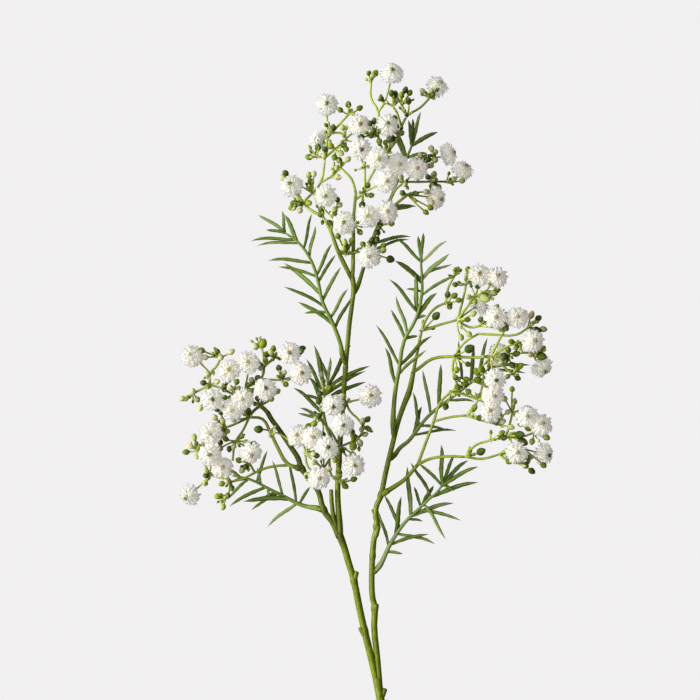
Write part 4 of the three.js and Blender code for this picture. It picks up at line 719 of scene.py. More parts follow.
left_twigs = [
    [(-80.8, 306.3, 28.4), (-71.6, 311.6, 30), (-69.4, 318.9, 31), (-70.9, 330.3, 31)],
    [(-79.9, 303.4, 28.4), (-87.7, 302.4, 28), (-94, 305.6, 27), (-102.1, 308.2, 26)],
    [(-102.1, 308.2, 26), (-101.9, 315, 27), (-98, 319.4, 27.4), (-95.4, 324.6, 27.6)],
    [(-102.1, 308.2, 26), (-112.2, 302.8, 23)],
    [(-69.4, 318.9, 31), (-63.5, 324.6, 33)],
    [(-71.6, 311.6, 30), (-67.3, 311.2, 30.6), (-58.9, 311, 32.4)],
    [(-78.5, 288.6, 27), (-89.3, 283.6, 29), (-92.6, 282.6, 29.6)],
    [(-78.5, 288.6, 27), (-82.8, 279.8, 28), (-86.6, 274.4, 28), (-88.5, 262.5, 27)],
    [(-75.1, 255.3, 27.6), (-78.5, 261.4, 28)],
    [(-89.3, 249.9, 27), (-91.6, 241.1, 24)],
    [(-89.3, 249.9, 27), (-95, 252.2, 26), (-101.5, 254.5, 25), (-106.1, 262, 26), (-109.6, 268.2, 27)],
]
left_forks = [
    ((-72, 295.5, 26), [("l06", -68.6, 305.4, 45, 0.1, 0.24, 1, "D")], [(10.8, 8.8, 11, "o"),
     (7, 4.2, 12, "o"), (-1.4, 4.6, 10, "d")]),
    ((-80.8, 306.3, 28.4), [("l03", -78.8, 321.4, 41, -0.1, 0.1, 1, "y")], [(3.4, -2.4, 5.6, "o"),
     (3.8, 4.9, 5.6, "b"), (7.6, 6.1, 6.6, "d")]),
    ((-69.4, 318.9, 31), [], [(0.7, 4.2, 3, "o"), (-2.2, -0.8, 4, "b")]),
    ((-70.9, 330.3, 31), [], [(0.7, 2.7, 0.6, "O"), (-3.9, 0.3, 0, "c")]),
    ((-63.5, 324.6, 33), [("l04", -54.3, 327.3, 42, 0.05, 0, 1, "o")], [(-0.5, 5.2, 1, "g"),
     (-1.9, 3.4, 4, "c"), (16.9, 5.4, 0, "d"), (-4.4, 1.9, 2.5, "d"), (15.7, 3.4, 1.5, "g")]),
    ((-58.9, 311, 32.4), [("l05", -47.4, 315, 43, 0.2, 0.1, 1, "o")], [(-1.7, 7.3, 3.6, "d"),
     (1.5, 4.4, 3.6, "c"), (2.5, -2.6, 2.6, "g"), (0.4, 2.5, 3.6, "d")]),
    ((-87.7, 302.4, 28), [("l08", -82.4, 299.4, 40, 0, 0, 1, "p"),
     ("l09", -88.2, 293.6, 38, -0.2, -0.2, 1, "p")], [(-1.8, 3.9, 5, "c"), (2.9, 3.4, 6, "g"),
     (-5.9, -2, 3, "g"), (1.9, 7.6, 3, "g"), (-0.8, -3.4, 4, "o"), (-5.4, -7.6, 3, "d")]),
    ((-94, 305.6, 27), [("l02", -90.4, 316.6, 40, -0.1, 0.2, 1, "y")], [(0.5, 1.4, 4, "d")]),
    ((-102.1, 308.2, 26), [("l07", -100.4, 299.4, 41, 0.05, 0, 1, "D")], [(-4, 1.1, 2, "d"),
     (4.4, 1.8, 4.4, "c"), (-5.5, -14.2, 7, "p")]),
    ((-101.9, 315, 27), [("l01", -112.6, 325.4, 30, -0.4, 0.3, 1, "p")], [(-1.5, -0.7, 4, "c")]),
    ((-95.4, 324.6, 27.6), [], [(-2.3, 3.6, 0.4, "g"), (6.3, 3.4, 1.8, "c"), (0, 0, 4.4, "c"),
     (-11.8, 4.2, 2.4, "o"), (-9.6, 0, 3.9, "c")]),
    ((-112.2, 302.8, 23), [], [(0, 1.5, 3, "c"), (-6.7, -3.1, -2, "c"), (2.5, -3.6, -2, "p")]),
    ((-78.5, 288.6, 27), [], [(-5.4, 5.4, 4.4, "o"), (-0.5, 4.2, 6, "d"), (-2.7, 2.4, 7, "o"),
     (-9.2, -1.5, 4, "b")]),
    ((-92.6, 282.6, 29.6), [("l10", -101.1, 279.3, 38, -0.2, -0.1, 1, "p")], [(-2, 3.8, 1.4, "c"),
     (-6.6, 6, 2.4, "c"), (-0.9, -4.8, 3.4, "c"), (-3.2, -9.4, 1.4, "d"), (-2.8, 9.1, 1.9, "d"),
     (-5.4, 11, 1.9, "d"), (-1.7, -0.9, 2.4, "g"), (1.2, -2.4, 4.1, "o")]),
    ((-86.6, 274.4, 28), [("l13", -77.8, 267.6, 38, 0.2, -0.4, 0.8, "b")], [(3.8, 3, 5, "g"),
     (-1.1, -3.5, 5, "c"), (-3.8, -4.6, 4, "d"), (-6, 1.2, 6.4, "g"), (-9.6, -4.6, 3.5, "b"),
     (6.5, -0.8, 5, "o"), (11.1, -1.6, 3.5, "g")]),
    ((-66.3, 280.6, 27.6), [], [(-6.7, 0.8, 2.4, "D"), (13.4, -7.5, 6.4, "p")]),
    ((-78.5, 261.4, 28), [], [(-6.2, 1.5, 3, "o"), (-4.3, -4.6, 4, "c"), (-2.3, -2.7, 4.6, "d")]),
    ((-89.3, 249.9, 27), [("l12", -94.6, 258.7, 36, 0.1, 0.1, 1, "b")], [(-5.7, -1.2, 2, "o"),
     (0.4, -3.8, 4, "d"), (-2.3, 0.4, 5.6, "c")]),
    ((-91.6, 241.1, 24), [], [(-5.9, 0, 0, "o"), (-2.7, -6.5, -1.6, "p"), (0.2, 0.4, 3.5, "g")]),
    ((-101.5, 254.5, 25), [("l11", -101.9, 266.3, 40, 0, 0, 1, "g"),
     ("l14", -114.5, 241.8, 5.9, -0.6, -0.5, 0.5, "g")], [(-2.9, 1.9, 4, "c"), (-3.1, -0.8, 1.6, "d"),
     (-3.4, -5.8, -1.4, "c")]),
    ((-109.6, 268.2, 27), [], [(-6.9, -0.5, -1, "g"), (-4.2, 3.1, 1.4, "c"), (-1.9, 8.5, 0, "p"),
     (2.7, 3.9, 3, "c"), (0, -3, 3, "p")]),
]
centre_limbs = [
    (1.1, 0.9, (-24.3, 270.2, 30.8), (-24.3, 270.8, 33.4), (-24.2, 271.4, 35)),
]
centre_twigs = [
    [(-24.2, 271, 34.4), (-19.2, 273, 35.6), (-12.7, 276.7, 36), (-10.4, 282.3, 36), (-12.7, 287, 36),
     (-18.2, 292.6, 35.6), (-20.2, 297.6, 35)],
    [(-24.2, 271, 34.4), (-30.4, 263.4, 36), (-34.4, 258, 36.4), (-40, 256.4, 36.4), (-43.4, 259.4, 36.4),
     (-44.8, 266.8, 36)],
    [(-30.4, 263.4, 36), (-29, 253.6, 37), (-23.6, 249.4, 37.6)],
    [(-24.2, 271, 34.4), (-30, 281, 35), (-35.4, 288, 34.4), (-34.4, 296, 34), (-33, 303, 33.6)],
]
centre_forks = [
    ((-20.2, 297.6, 35), [("c01", -28.2, 296, 44, 0.1, -0.25, 0.95, "D"),
     ("c02", -5.8, 301.4, 39, 0.1, 0.1, 1, "o")], [(-0.7, -1.1, 6, "g"), (-1.7, 3.8, 3.4, "p")]),
    ((-24.2, 271.4, 35), [("c03", -22.3, 284.2, 49, 0.1, -0.05, 1, "G"),
     ("c05", -31.9, 270.6, 51, 0.25, 0.1, 1, "D"), ("c07", -15.8, 260.2, 46, 0.2, -0.1, 1, "o")],
     [(8, -5, 2, "g"), (-2.7, -8.3, 5, "o"), (0, -3.5, 3, "d")]),
    ((-12.7, 276.7, 36), [], [(-3.6, 1.1, 5.6, "o"), (3.9, 1.8, 2.6, "c"), (0.8, -3.5, 1.4, "c"),
     (-3.5, -5.6, 4.4, "O"), (-4, 3.4, 5.5, "d")]),
    ((-10.4, 282.3, 36), [], [(3, 5.3, 1.6, "d"), (-0.8, -0.9, 5.4, "c"), (3.8, -0.7, 3.4, "g"),
     (0, 4.5, 3.5, "c")]),
    ((-44.8, 266.8, 36), [("c04", -40.3, 276.7, 43, 0.1, 0.1, 1, "b"),
     ("c08", -48.4, 277.4, 38, -0.4, 0.2, 1, "b")], [(6.9, -1.1, 3.4, "d"), (5, 0, 4.4, "c")]),
    ((-34.4, 258, 36.4), [("c06", -36.8, 252.4, 47, 0.2, 0, 1, "b")], [(0.7, 7.1, 5.2, "d"),
     (-5.4, 3.9, 5, "c"), (4, -0.3, 5.2, "c")]),
    ((-40, 256.4, 36.4), [], [(-4.1, -2.2, 1, "p")]),
    ((-23.6, 249.4, 37.6), [], [(2.8, -2, 0.8, "g"), (8, 2.2, -0.6, "g"), (-1.4, 4.7, 2.4, "p"),
     (-1, 7, 3.2, "g")]),
    ((-35.4, 288, 34.4), [], [(-1.6, 1.8, 3.2, "d"), (-4.2, -3.4, 2.4, "o"), (1.3, -9.8, 4, "d"),
     (-1.6, 10.3, 0.6, "d"), (-7.9, -4.7, 2.8, "g")]),
    ((-33, 303, 33.6), [], [(-2.3, 11.4, 0.8, "c"), (-3.1, -0.1, 2.8, "d"), (5, 3.7, 2.4, "g"),
     (2.6, 3, 4, "g")]),
]
right_upper_limbs = [
    (1.6, 1.25, (17.5, 303.9, 27.1), (19, 310.4, 27.6), (20, 315.8, 28)),
    (1, 0.8, (20, 315.8, 28), (22.7, 329.6, 28.6), (24.8, 340.4, 29.2)),
    (0.8, 0.65, (24.8, 340.4, 29.2), (28.1, 348.2, 29.8), (33, 354, 30.4), (39.4, 357.3, 31)),
    (0.8, 0.65, (24.8, 340.4, 29.2), (35.4, 344, 30), (46.3, 347, 31)),
    (1, 0.75, (20, 315.8, 28), (23.8, 318.4, 28.2), (31.2, 323.6, 28.8), (42, 325, 29.6), (55, 324.5, 30.4),
     (66.3, 324.9, 31)),
]
right_upper_twigs = [
    [(39.4, 357.3, 31), (40.8, 366, 31.4), (44.6, 373.4, 31)],
    [(46.3, 347, 31), (48.4, 354, 32), (50.6, 363, 32), (51.6, 368.3, 32)],
    [(46.3, 347, 31), (51.6, 353.8, 32.6), (57.1, 361.2, 33), (63.6, 364.4, 32.4)],
    [(46.3, 347, 31), (54, 342.6, 32), (60, 343.4, 33.6)],
    [(44.3, 325, 29.8), (50.4, 333.2, 31), (59, 338.7, 32)],
    [(59, 338.7, 32), (68.2, 338.2, 33), (81.9, 338.2, 34), (88.8, 342.4, 34)],
    [(66.3, 324.9, 31), (70.6, 333.4, 33), (75.5, 342.4, 34.4)],
    [(66.3, 324.9, 31), (77.3, 331.6, 33.4), (84.6, 333.4, 34)],
    [(66.3, 324.9, 31), (77, 326.4, 31.6), (87.4, 327.4, 31), (92.9, 325.9, 30)],
    [(66.3, 324.9, 31), (75, 318.4, 31), (79.6, 314.4, 30.6)],
    [(44.3, 325, 29.8), (43.6, 317, 30.6), (44.6, 311.6, 31)],
]
right_upper_forks = [
    ((24.8, 340.4, 29.2), [], [(8.9, 9.1, 3.8, "D")]),
    ((39.4, 357.3, 31), [], [(1.2, 5, 4, "d"), (5.3, 4.3, 4, "g"), (2.4, -2.5, 3.6, "d"),
     (7.9, 1.6, 4, "g")]),
    ((44.6, 373.4, 31), [], [(1.8, 3.6, -0.4, "p")]),
    ((51.6, 368.3, 32), [("r01", 59.7, 373.8, 35, 0, 0.3, 1, "o")], [(1.2, 9.1, -0.6, "g"),
     (-6.7, -0.1, 2, "g"), (2.5, 1.9, -2, "g")]),
    ((57.1, 361.2, 33), [], [(-4.1, -0.5, 3.6, "p"), (1.6, 6.4, -4.4, "d"), (6, -1.4, 3.6, "P"),
     (-0.2, -3.6, 4, "o")]),
    ((63.6, 364.4, 32.4), [("r02", 69.7, 372.4, 35, 0.3, 0.4, 0.9, "b")], [(6.6, 0.5, -2.4, "o"),
     (4.6, -1.4, 1, "p"), (-0.7, -2.7, 2.6, "g")]),
    ((46.3, 347, 31), [("r03", 59.4, 356.2, 20, 0.6, 0.4, -0.3, "b")], [(6.3, 0.2, 4, "d"),
     (2.4, -10.5, 0, "p"), (7.2, -8.6, 3.6, "p"), (9.7, 3.7, 5, "p")]),
    ((60, 343.4, 33.6), [("r04", 69.3, 348.2, 43, 0.1, 0.1, 1, "b")], [(0.4, 4, 3, "d"),
     (6.3, 0.4, 4.4, "c"), (9.7, 11.2, 1.4, "o"), (12.7, -1.9, 4.8, "o"), (7.7, 8.6, 1.9, "p")]),
    ((75.5, 342.4, 34.4), [("r05", 82, 348.4, 41, 0.1, 0.2, 1, "b")], [(0, 7.4, 1.6, "g"),
     (0, -0.5, 4.2, "d"), (9.4, 8.3, -1.4, "d"), (-6.7, 1.8, 3.8, "d"), (-3.9, 8.7, 1.1, "d"),
     (3.4, 3, 2.9, "g")]),
    ((88.8, 342.4, 34), [], [(6.2, 5.7, 0, "d"), (5.9, -1.6, 0.6, "d"), (9.2, -0.9, -1, "b"),
     (1.8, 2.3, 3.4, "p"), (2, 7.8, -0.6, "c")]),
    ((84.6, 333.4, 34), [("r06", 91.4, 334.6, 39, 0.4, 0, 1, "b")], [(-2.7, -3, 2.8, "d"),
     (-6, 0.6, 4, "g")]),
    ((77, 326.4, 31.6), [], [(-0.1, 2.7, 4.8, "d"), (4.9, 0.4, 2, "g"), (-1.5, -3.8, 4.2, "d"),
     (2.4, -6.6, 3, "d"), (-2.9, -1.5, 4.5, "D"), (-4.3, -4.7, 3.6, "c")]),
    ((92.9, 325.9, 30), [("r07", 97, 318.8, 21, 0.5, -0.6, 0.4, "b")], [(4.2, -0.7, 2, "D"),
     (4.8, 4.1, 0, "o"), (-2.7, 0.4, 3, "c"), (0.5, 0, 2.5, "g")]),
    ((79.6, 314.4, 30.6), [], [(3.1, -2.3, -0.2, "d"), (4.5, 5.1, 1.8, "o"), (-3.3, -1.3, 3, "p")]),
    ((66.3, 324.9, 31), [("r08", 69, 311.6, 42, 0.2, -0.2, 1, "D"),
     ("r14", 71.4, 326, 20.5, 0.4, 0.1, -0.9, "b")], [(-5.9, -7.5, 3, "g")]),
    ((44.3, 325, 29.8), [], [(9.5, 4.8, 2.8, "D"), (8.6, -4.6, 3.2, "d"), (1.8, -8, 4.2, "o")]),
    ((44.6, 311.6, 31), [], [(1.8, -5, 2, "g"), (3.4, -0.3, 2.6, "d"), (0.7, 1, 2.3, "d"),
     (7.2, -0.2, 2.3, "g")]),
]
right_lower_limbs = [
    (1.4, 1, (5.4, 244.8, 21.1), (10.4, 248, 22), (15.2, 251.6, 23), (22.7, 260.2, 24)),
    (0.9, 0.7, (22.7, 260.2, 24), (27, 272, 23.6), (32.3, 286, 23.4), (36, 297, 23.6), (43, 304.4, 24.4)),
    (0.9, 0.7, (22.7, 260.2, 24), (30, 263.6, 24.4), (38.8, 265, 25), (51.4, 264.8, 26)),
]
right_lower_twigs = [
    [(32.3, 286, 23.4), (42, 288.6, 24.6), (51.9, 289.7, 25.6)],
    [(51.9, 289.7, 25.6), (58.9, 299.1, 26.6), (61.6, 308, 26.6)],
    [(51.9, 289.7, 25.6), (61, 286.8, 27.4), (69.3, 284.7, 28.6)],
    [(43, 304.4, 24.4), (52, 301.6, 26), (58.9, 299.1, 26.6)],
    [(51.4, 264.8, 26), (57, 271.6, 27), (66.4, 274.8, 28), (75.8, 277.8, 30)],
    [(51.4, 264.8, 26), (61.2, 263.6, 27), (71.3, 266.3, 28)],
    [(75.8, 277.8, 30), (78, 285, 30), (79.4, 291.2, 29.6)],
    [(75.8, 277.8, 30), (84.6, 277, 30), (92.2, 279.3, 29.6)],
    [(71.3, 266.3, 28), (77, 262.6, 29), (82.3, 261.3, 29)],
    [(71.3, 266.3, 28), (78.4, 270.4, 27.6), (86.2, 269.4, 22)],
]
right_lower_forks = [
    ((43, 304.4, 24.4), [], [(4.6, 2, 4, "d"), (8.6, 4.2, 1.2, "g"), (-3.6, -9.6, 4, "d")]),
    ((58.9, 299.1, 26.6), [("r09", 67.8, 301.4, 39, 0.2, 0, 1, "b")], [(7.2, -2.2, -0.2, "p"),
     (-6, 5, 3, "g")]),
    ((61.6, 308, 26.6), [], [(2.5, 0.1, 3.8, "g"), (-3.2, 3, 2, "g"), (-3.7, 8, 0.5, "o"),
     (-0.2, 9.5, 2.9, "g")]),
    ((51.9, 289.7, 25.6), [], [(8, -1.5, 6, "d"), (4.9, 4.9, 5, "g")]),
    ((69.3, 284.7, 28.6), [("r09b", 66.4, 292, 36, -0.1, 0.2, 1, "b")], [(1.5, 3, -0.2, "o"),
     (4.3, 1.5, 3.8, "c"), (0.5, 0.5, 3.8, "d"), (7.5, 7.2, 3, "c"), (9.5, -2, 4.8, "p")]),
    ((51.4, 264.8, 26), [], [(9.3, 3.3, 4, "D")]),
    ((66.4, 274.8, 28), [], [(7.9, 1.5, 4.4, "d"), (6.9, 4.5, 3, "g")]),
    ((79.4, 291.2, 29.6), [("r10", 88, 288.9, 38, 0.1, 0.1, 1, "b")], [(1.4, 7, 0, "p"), (8.9, 3, 0.4, "o"),
     (-4.8, 8.7, 2.4, "c"), (4.8, -6.8, 1.8, "g"), (-0.1, 14.4, 1.2, "o")]),
    ((75.8, 277.8, 30), [], [(8, 0.4, 5.6, "D"), (9.9, -4, 1.6, "D")]),
    ((92.2, 279.3, 29.6), [("r11", 96.4, 284.2, 36, 0.4, 0.3, 1, "b")], [(-1, -5.3, 1.8, "o"),
     (-3.6, 2.7, -1, "g"), (7.8, -2.8, 1.4, "o"), (7, 5.9, -1.6, "p")]),
    ((71.3, 266.3, 28), [("r12", 82, 267.4, 40, 0.1, 0.1, 1, "b")], [(6, -4.2, 4.6, "g"),
     (5.5, -0.5, 6.4, "g")]),
    ((82.3, 261.3, 29), [], [(8.9, -5, -1, "d"), (8.2, 3.5, 1.4, "p"), (5.1, -1.7, 4, "g")]),
    ((86.2, 269.4, 22), [("r13", 98.7, 266.3, 5.9, 0.8, -0.2, 0.5, "G")], [(2, -4.6, 9.7, "d"),
     (-0.5, -2.1, 9, "d"), (12, -9.6, 7.2, "g")]),
]
sprays = {
    "spray_top": (top_limbs, top_twigs, top_forks),
    "spray_left": (left_limbs, left_twigs, left_forks),
    "spray_centre": (centre_limbs, centre_twigs, centre_forks),
    "spray_right_upper": (right_upper_limbs, right_upper_twigs, right_upper_forks),
    "spray_right_lower": (right_lower_limbs, right_lower_twigs, right_lower_forks),
}
tones = {"d": 0.05, "g": 0.2, "o": 0.4, "p": 0.6, "c": 0.8, "b": 0.95}
tone_colours = [
    (0.05, (0.04, 0.08, 0.0005, 1)), (0.2, (0.13, 0.21, 0.001, 1)), (0.4, (0.25, 0.31, 0.006, 1)),
    (0.6, (0.40, 0.48, 0.14, 1)), (0.8, (0.60, 0.57, 0.32, 1)), (0.95, (0.46, 0.37, 0.20, 1)),
]
tone_swing = 0.06
twig_radii = (0.7, 0.62)
branchlet_share = 1.08
foot_share = 0.9
foot_reach = 34
fork_reach = 1.9
head_back = 3.1
neck_length = 1.8
neck_radii = (0.6, 0.55, 0.6)

bud_half_width = 1.75
bud_taper = 0.16
bud_roundness = 0.1
bud_sizes = (0.94, 1.12)
bud_stretches = (1.1, 1.35)
big_bud = 1.4
bud_stalk_radii = (0.55, 0.5, 0.55)
bud_stalk_bend = 0.07
bud_tip_paleness = 0.22

small_shoots = 5
lone_fork_aim = Vector((0, 0.5, 0.5))
small_shoot_spread = 0.9
small_shoot_lengths = (2.8, 7.5)
small_shoot_radii = (0.5, 0.42)
least_bud_height = 3
small_bud = 0.5
small_bud_sizes = (0.8, 1.3)
small_bud_stretch = 1.5
green_shoots = (0.08, 0.2, 0.2, 0.3, 0.45, 0.6, 0.75)
pale_shoots = (0.15, 0.3, 0.45, 0.6, 0.6, 0.7, 0.8)

fork_bracts = 3
bract_leans = (0.3, 1.3)
bract_turn = 2.1
bract_swing = 0.5
bract_width = 0.75
bract_thickness = 0.4
bract_point = 0.08
bract_lengths = (1.5, 2.6)
bract_tones = (0.6, 0.72, 0.85)

branchlet_green = (0.28, 0.37, 0.008, 1)
branchlet_lime = (0.44, 0.52, 0.06, 1)
branchlet_pale = (0.42, 0.49, 0.13, 1)
branchlet_foot = (0.13, 0.165, 0.0005, 1)
fork_straw = (0.60, 0.50, 0.34, 1)
bud_shade = (0.78, 0.78, 0.72, 1)
bud_shine = (1.22, 1.2, 1.1, 1)
bud_tip_straw = (0.5, 0.5, 0.3, 1)

branchlet_skin, tree, shader = new_finish("branchlet skin", 0.4, 0.3)
streak, blotch = skin(tree, 1100)
lime = mixed(tree, stretched(tree, blotch, 0.35, 0.65), branchlet_green, branchlet_lime)
lime = mixed(tree, stretched(tree, streak, 0.5, 0.8), lime, branchlet_pale)
lime = mixed(tree, stored(tree, "foot"), lime, branchlet_foot)
feed(tree, mixed(tree, stored(tree, "fork"), lime, fork_straw), shader.inputs["Base Color"])
relief(tree, shader, streak, 0.25, 0.00015)

bud_skin, tree, shader = new_finish("bud skin", 0.45, 0.1)
streak, blotch = skin(tree, 1300)
base = ramp(tree, stored(tree, "tone"), tone_colours)
shade = mixed(tree, stretched(tree, blotch, 0.3, 0.7), bud_shade, bud_shine)
tint = mixed(tree, 1, base, shade, "MULTIPLY")
tip_share = product(tree, stored(tree, "bud_tip"), bud_tip_paleness)
feed(tree, mixed(tree, tip_share, tint, bud_tip_straw), shader.inputs["Base Color"])
relief(tree, shader, streak, 0.25, 0.00015)

# One bud: a globe drawn out to a blunt tip, standing on its shoot.
bm = bmesh.new()
bmesh.ops.create_uvsphere(bm, u_segments=8, v_segments=6, radius=1)
for vert in bm.verts:
    narrowing = 1 - bud_taper * vert.co.z - bud_roundness * vert.co.z ** 2
    vert.co.x *= narrowing
    vert.co.y *= narrowing
bud_mesh = mesh_of(bm, "bud")

# One bract: a short pointed scale.
bm = bmesh.new()
bmesh.ops.create_cone(bm, cap_ends=True, segments=5, radius1=1, radius2=bract_point, depth=1,
                      matrix=Matrix.Translation((0, 0, 0.5)))
bract_mesh = mesh_of(bm, "bract")


def give_finish(verts, finish):
    """Gives the faces at some points the finish with that number."""
    for face in {face for vert in verts for face in vert.link_faces}:
        face.material_index = finish


def add_copy(bm, mesh, matrix):
    """Adds a copy of a mesh to a growing one and returns its points."""
    before = len(bm.verts)
    bm.from_mesh(mesh)
    bm.verts.ensure_lookup_table()
    points = bm.verts[before:]
    bmesh.ops.transform(bm, matrix=matrix, verts=points)
    return points


def turned_to(direction):
    return direction.to_track_quat("Z", "Y").to_matrix().to_4x4()


def any_way(chance):
    """A step in any direction, up to 1 along each axis."""
    return Vector([chance.uniform(-1, 1) for _ in range(3)])


def bud_place(middle, aim, width, stretch):
    """Stands a bud on the end of its shoot, drawn out the way the shoot aims."""
    return (Matrix.Translation(middle) @ turned_to(aim)
            @ Matrix.Diagonal((width, width, width * stretch, 1)))


for number, (name, (limbs, twigs, forks)) in enumerate(sprays.items()):
    chance = random.Random(200 + number)
    foot = Vector(limbs[0][2])
    stalks = limbs + [(*twig_radii, *twig) for twig in twigs]
    runs = [tapered(spots, start * branchlet_share, end * branchlet_share)
            for start, end, *spots in stalks]
    runs[0].insert(0, (bearer(foot), limbs[0][0] * foot_share))
    buds = []
    for fork, heads, bud_rows in forks:
        fork_spot = place(*fork)
        for _, x, y, z, *facing, _ in heads:
            facing = Vector(facing).normalized()
            seat = place(x, y, z) - facing * head_back * MM
            neck = seat - facing * neck_length * MM
            neck.z = max(neck.z, MM)
            runs.append(list(zip((fork_spot, neck, seat + facing * MM), neck_radii)))
        for *step, tone in bud_rows:
            middle = fork_spot + Vector(step) * MM
            width = bud_half_width * chance.uniform(*bud_sizes) * (big_bud if tone.isupper() else 1) * MM
            swing = any_way(chance) * bud_stalk_bend * (middle - fork_spot).length
            bend = (fork_spot + middle) / 2 + swing
            runs.append(list(zip((fork_spot, bend, middle), bud_stalk_radii)))
            aim = (middle - bend).normalized()
            matrix = bud_place(middle, aim, width, chance.uniform(*bud_stretches))
            buds.append((matrix, tones[tone.lower()] + chance.uniform(-tone_swing, tone_swing)))
    for fork, _, bud_rows in forks:
        fork_spot = place(*fork)
        outwards = sum((Vector(row[:3]) for row in bud_rows), Vector()) * MM / (len(bud_rows) + 1)
        outwards = outwards.normalized() if outwards.length > MM else lone_fork_aim
        for _ in range(small_shoots):
            aim = (outwards + any_way(chance) * small_shoot_spread).normalized()
            middle = fork_spot + aim * chance.uniform(*small_shoot_lengths) * MM
            middle.z = max(middle.z, least_bud_height * MM)
            runs.append(list(zip((fork_spot, middle), small_shoot_radii)))
            width = bud_half_width * small_bud * chance.uniform(*small_bud_sizes) * MM
            matrix = bud_place(middle, aim, width, small_bud_stretch)
            buds.append((matrix, chance.choice(pale_shoots if "right" in name else green_shoots)))
    bm = tubes(runs, round_steps=1)
    fork_spots = [place(*fork) for fork, _, _ in forks]
    closeness(bm, "fork", fork_spots, fork_reach)
    closeness(bm, "foot", [place(*foot)], foot_reach)
    tone_layer = bm.verts.layers.float.new("tone")
    tip_layer = bm.verts.layers.float.new("bud_tip")
    for matrix, value in buds:
        points = add_copy(bm, bud_mesh, matrix)
        give_finish(points, 1)
        back_turn = matrix.inverted()
        for vert in points:
            vert[tone_layer] = value
            vert[tip_layer] = max(0, (back_turn @ vert.co).z)
    for spot in fork_spots:
        for turn in range(fork_bracts):
            lean = chance.uniform(*bract_leans)
            swing = chance.uniform(-bract_swing, bract_swing)
            turned = Euler((lean, 0, turn * bract_turn + swing)).to_matrix().to_4x4()
            length = chance.uniform(*bract_lengths)
            size = Matrix.Diagonal((bract_width * MM, bract_thickness * MM, length * MM, 1))
            points = add_copy(bm, bract_mesh, Matrix.Translation(spot) @ turned @ size)
            give_finish(points, 1)
            for vert in points:
                vert[tone_layer] = chance.choice(bract_tones)
    piece = finish_piece(bm, name + "_look", [branchlet_skin, bud_skin])
    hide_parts(name)


# ---------------------------------------------------------------- flower heads
# Small double flowers, each a tight ball of narrow white petals in a short green cup. The outer
# petals lie flat with ragged tips, and the inner ones stand up round a hollow, greenish middle.

# Heads that touch one another are one piece, named for all of them.
bunches = ("t07_t08", "t17_t18", "l02_l03", "l08_l09", "l11_l12", "c04_c08", "r01_r02", "r04_r05",
           "r08_r09_r09b", "r10_r11")
head_radius = 7.1
head_flatness = 0.86
core_radius = 4.2
petal_count = 112
petal_root = 3
petal_overlap = 0.75
innermost_cosine = 0.955
cosine_fall = 1.6
petal_angle_swing = (-0.06, 0.12)
least_root_angle = 0.3
upright_angle = 1.2
upright_shortening = 0.2
petal_reaches = (0.82, 1.1)
petal_breadths = (1.2, 1.8)
petal_swing = 0.2
petal_twist = 0.25
petal_steps = 4
petal_widths = (0.4, 0.7, 0.95, 1, 0.7)
petal_tip = {-1: -0.03, 0: -0.09, 1: 0.03}
petal_bow = 0.22
petal_droop = 0.03
petal_trough = 0.03
petal_thickness = 0.025
# How strongly the petals glow: painted light, standing in for light that passes through the thin petals.
petal_glow = 0.15

pistil_reach = 5.5
pistil_radius = 1.15
pistil_dome = 0.45
pistil_knobs = 8
knob_radius = 0.5
knob_length = 1.7
knob_swing = 0.2
eye_edge = 1.3
eye_spread = 0.75
eye_share = 0.4
cup_back = 2.4
cup_foot = 0.8
cup_rim = 2.1
cup_height = 1.8

# Petal colour from root to tip: the petals' own beige bases, with painted shade deep inside the head, out
# to white tips.
petal_tone_and_shade = [
    (0.3, (0.52, 0.47, 0.30, 1)), (0.6, (0.72, 0.68, 0.53, 1)), (0.8, (0.82, 0.80, 0.71, 1)),
    (0.95, (0.88, 0.865, 0.82, 1)),
]
petal_blotch = (0.84, 0.79, 0.71, 1)
eye_tones = {"b": 0.05, "p": 0.2, "y": 0.4, "o": 0.55, "g": 0.7, "G": 0.8, "D": 0.95}
eye_colours = [
    (0.05, (0.40, 0.33, 0.20, 1)), (0.2, (0.50, 0.52, 0.33, 1)), (0.4, (0.42, 0.39, 0.08, 1)),
    (0.55, (0.22, 0.20, 0.04, 1)), (0.7, (0.20, 0.27, 0.04, 1)), (0.8, (0.10, 0.18, 0.012, 1)),
    (0.95, (0.045, 0.07, 0.005, 1)),
]
knob_straw = (0.45, 0.42, 0.20, 1)
cup_dark = (0.09, 0.15, 0.02, 1)
cup_light = (0.2, 0.28, 0.05, 1)

petal_white, tree, shader = new_finish("petal white", 0.7, 0.1)
shader.inputs["Subsurface Weight"].default_value = 0.9
shader.inputs["Subsurface Radius"].default_value = (1, 0.95, 0.85)
shader.inputs["Subsurface Scale"].default_value = 0.006
# Painted light: a faint glow on the petals, standing in for light that passes through them.
shader.inputs["Emission Color"].default_value = (1, 0.985, 0.95, 1)
shader.inputs["Emission Strength"].default_value = petal_glow
streak, blotch = skin(tree, 700)
# Darker towards the middle of the head: partly the petals' beige bases, partly painted shade.
body = ramp(tree, stored(tree, "reach"), petal_tone_and_shade)
body = mixed(tree, stretched(tree, blotch, 0.55, 0.85), body, petal_blotch)
eye = ramp(tree, stored(tree, "eye_tone"), eye_colours)
feed(tree, mixed(tree, stored(tree, "eye"), body, eye), shader.inputs["Base Color"])
relief(tree, shader, streak, 0.15, 0.0002)

pistil_skin, tree, shader = new_finish("pistil", 0.5, 0.2)
streak, blotch = skin(tree, 2400)
eye = ramp(tree, stored(tree, "eye_tone"), eye_colours)
eye = mixed(tree, stretched(tree, streak, 0.58, 0.85), eye, knob_straw)
feed(tree, eye, shader.inputs["Base Color"])
relief(tree, shader, streak, 0.4, 0.0003)

cup_green, tree, shader = new_finish("cup green", 0.5, 0.35)
streak, blotch = skin(tree, 1200)
green = mixed(tree, stretched(tree, blotch, 0.35, 0.65), cup_dark, cup_light)
feed(tree, green, shader.inputs["Base Color"])
relief(tree, shader, streak, 0.25, 0.00015)

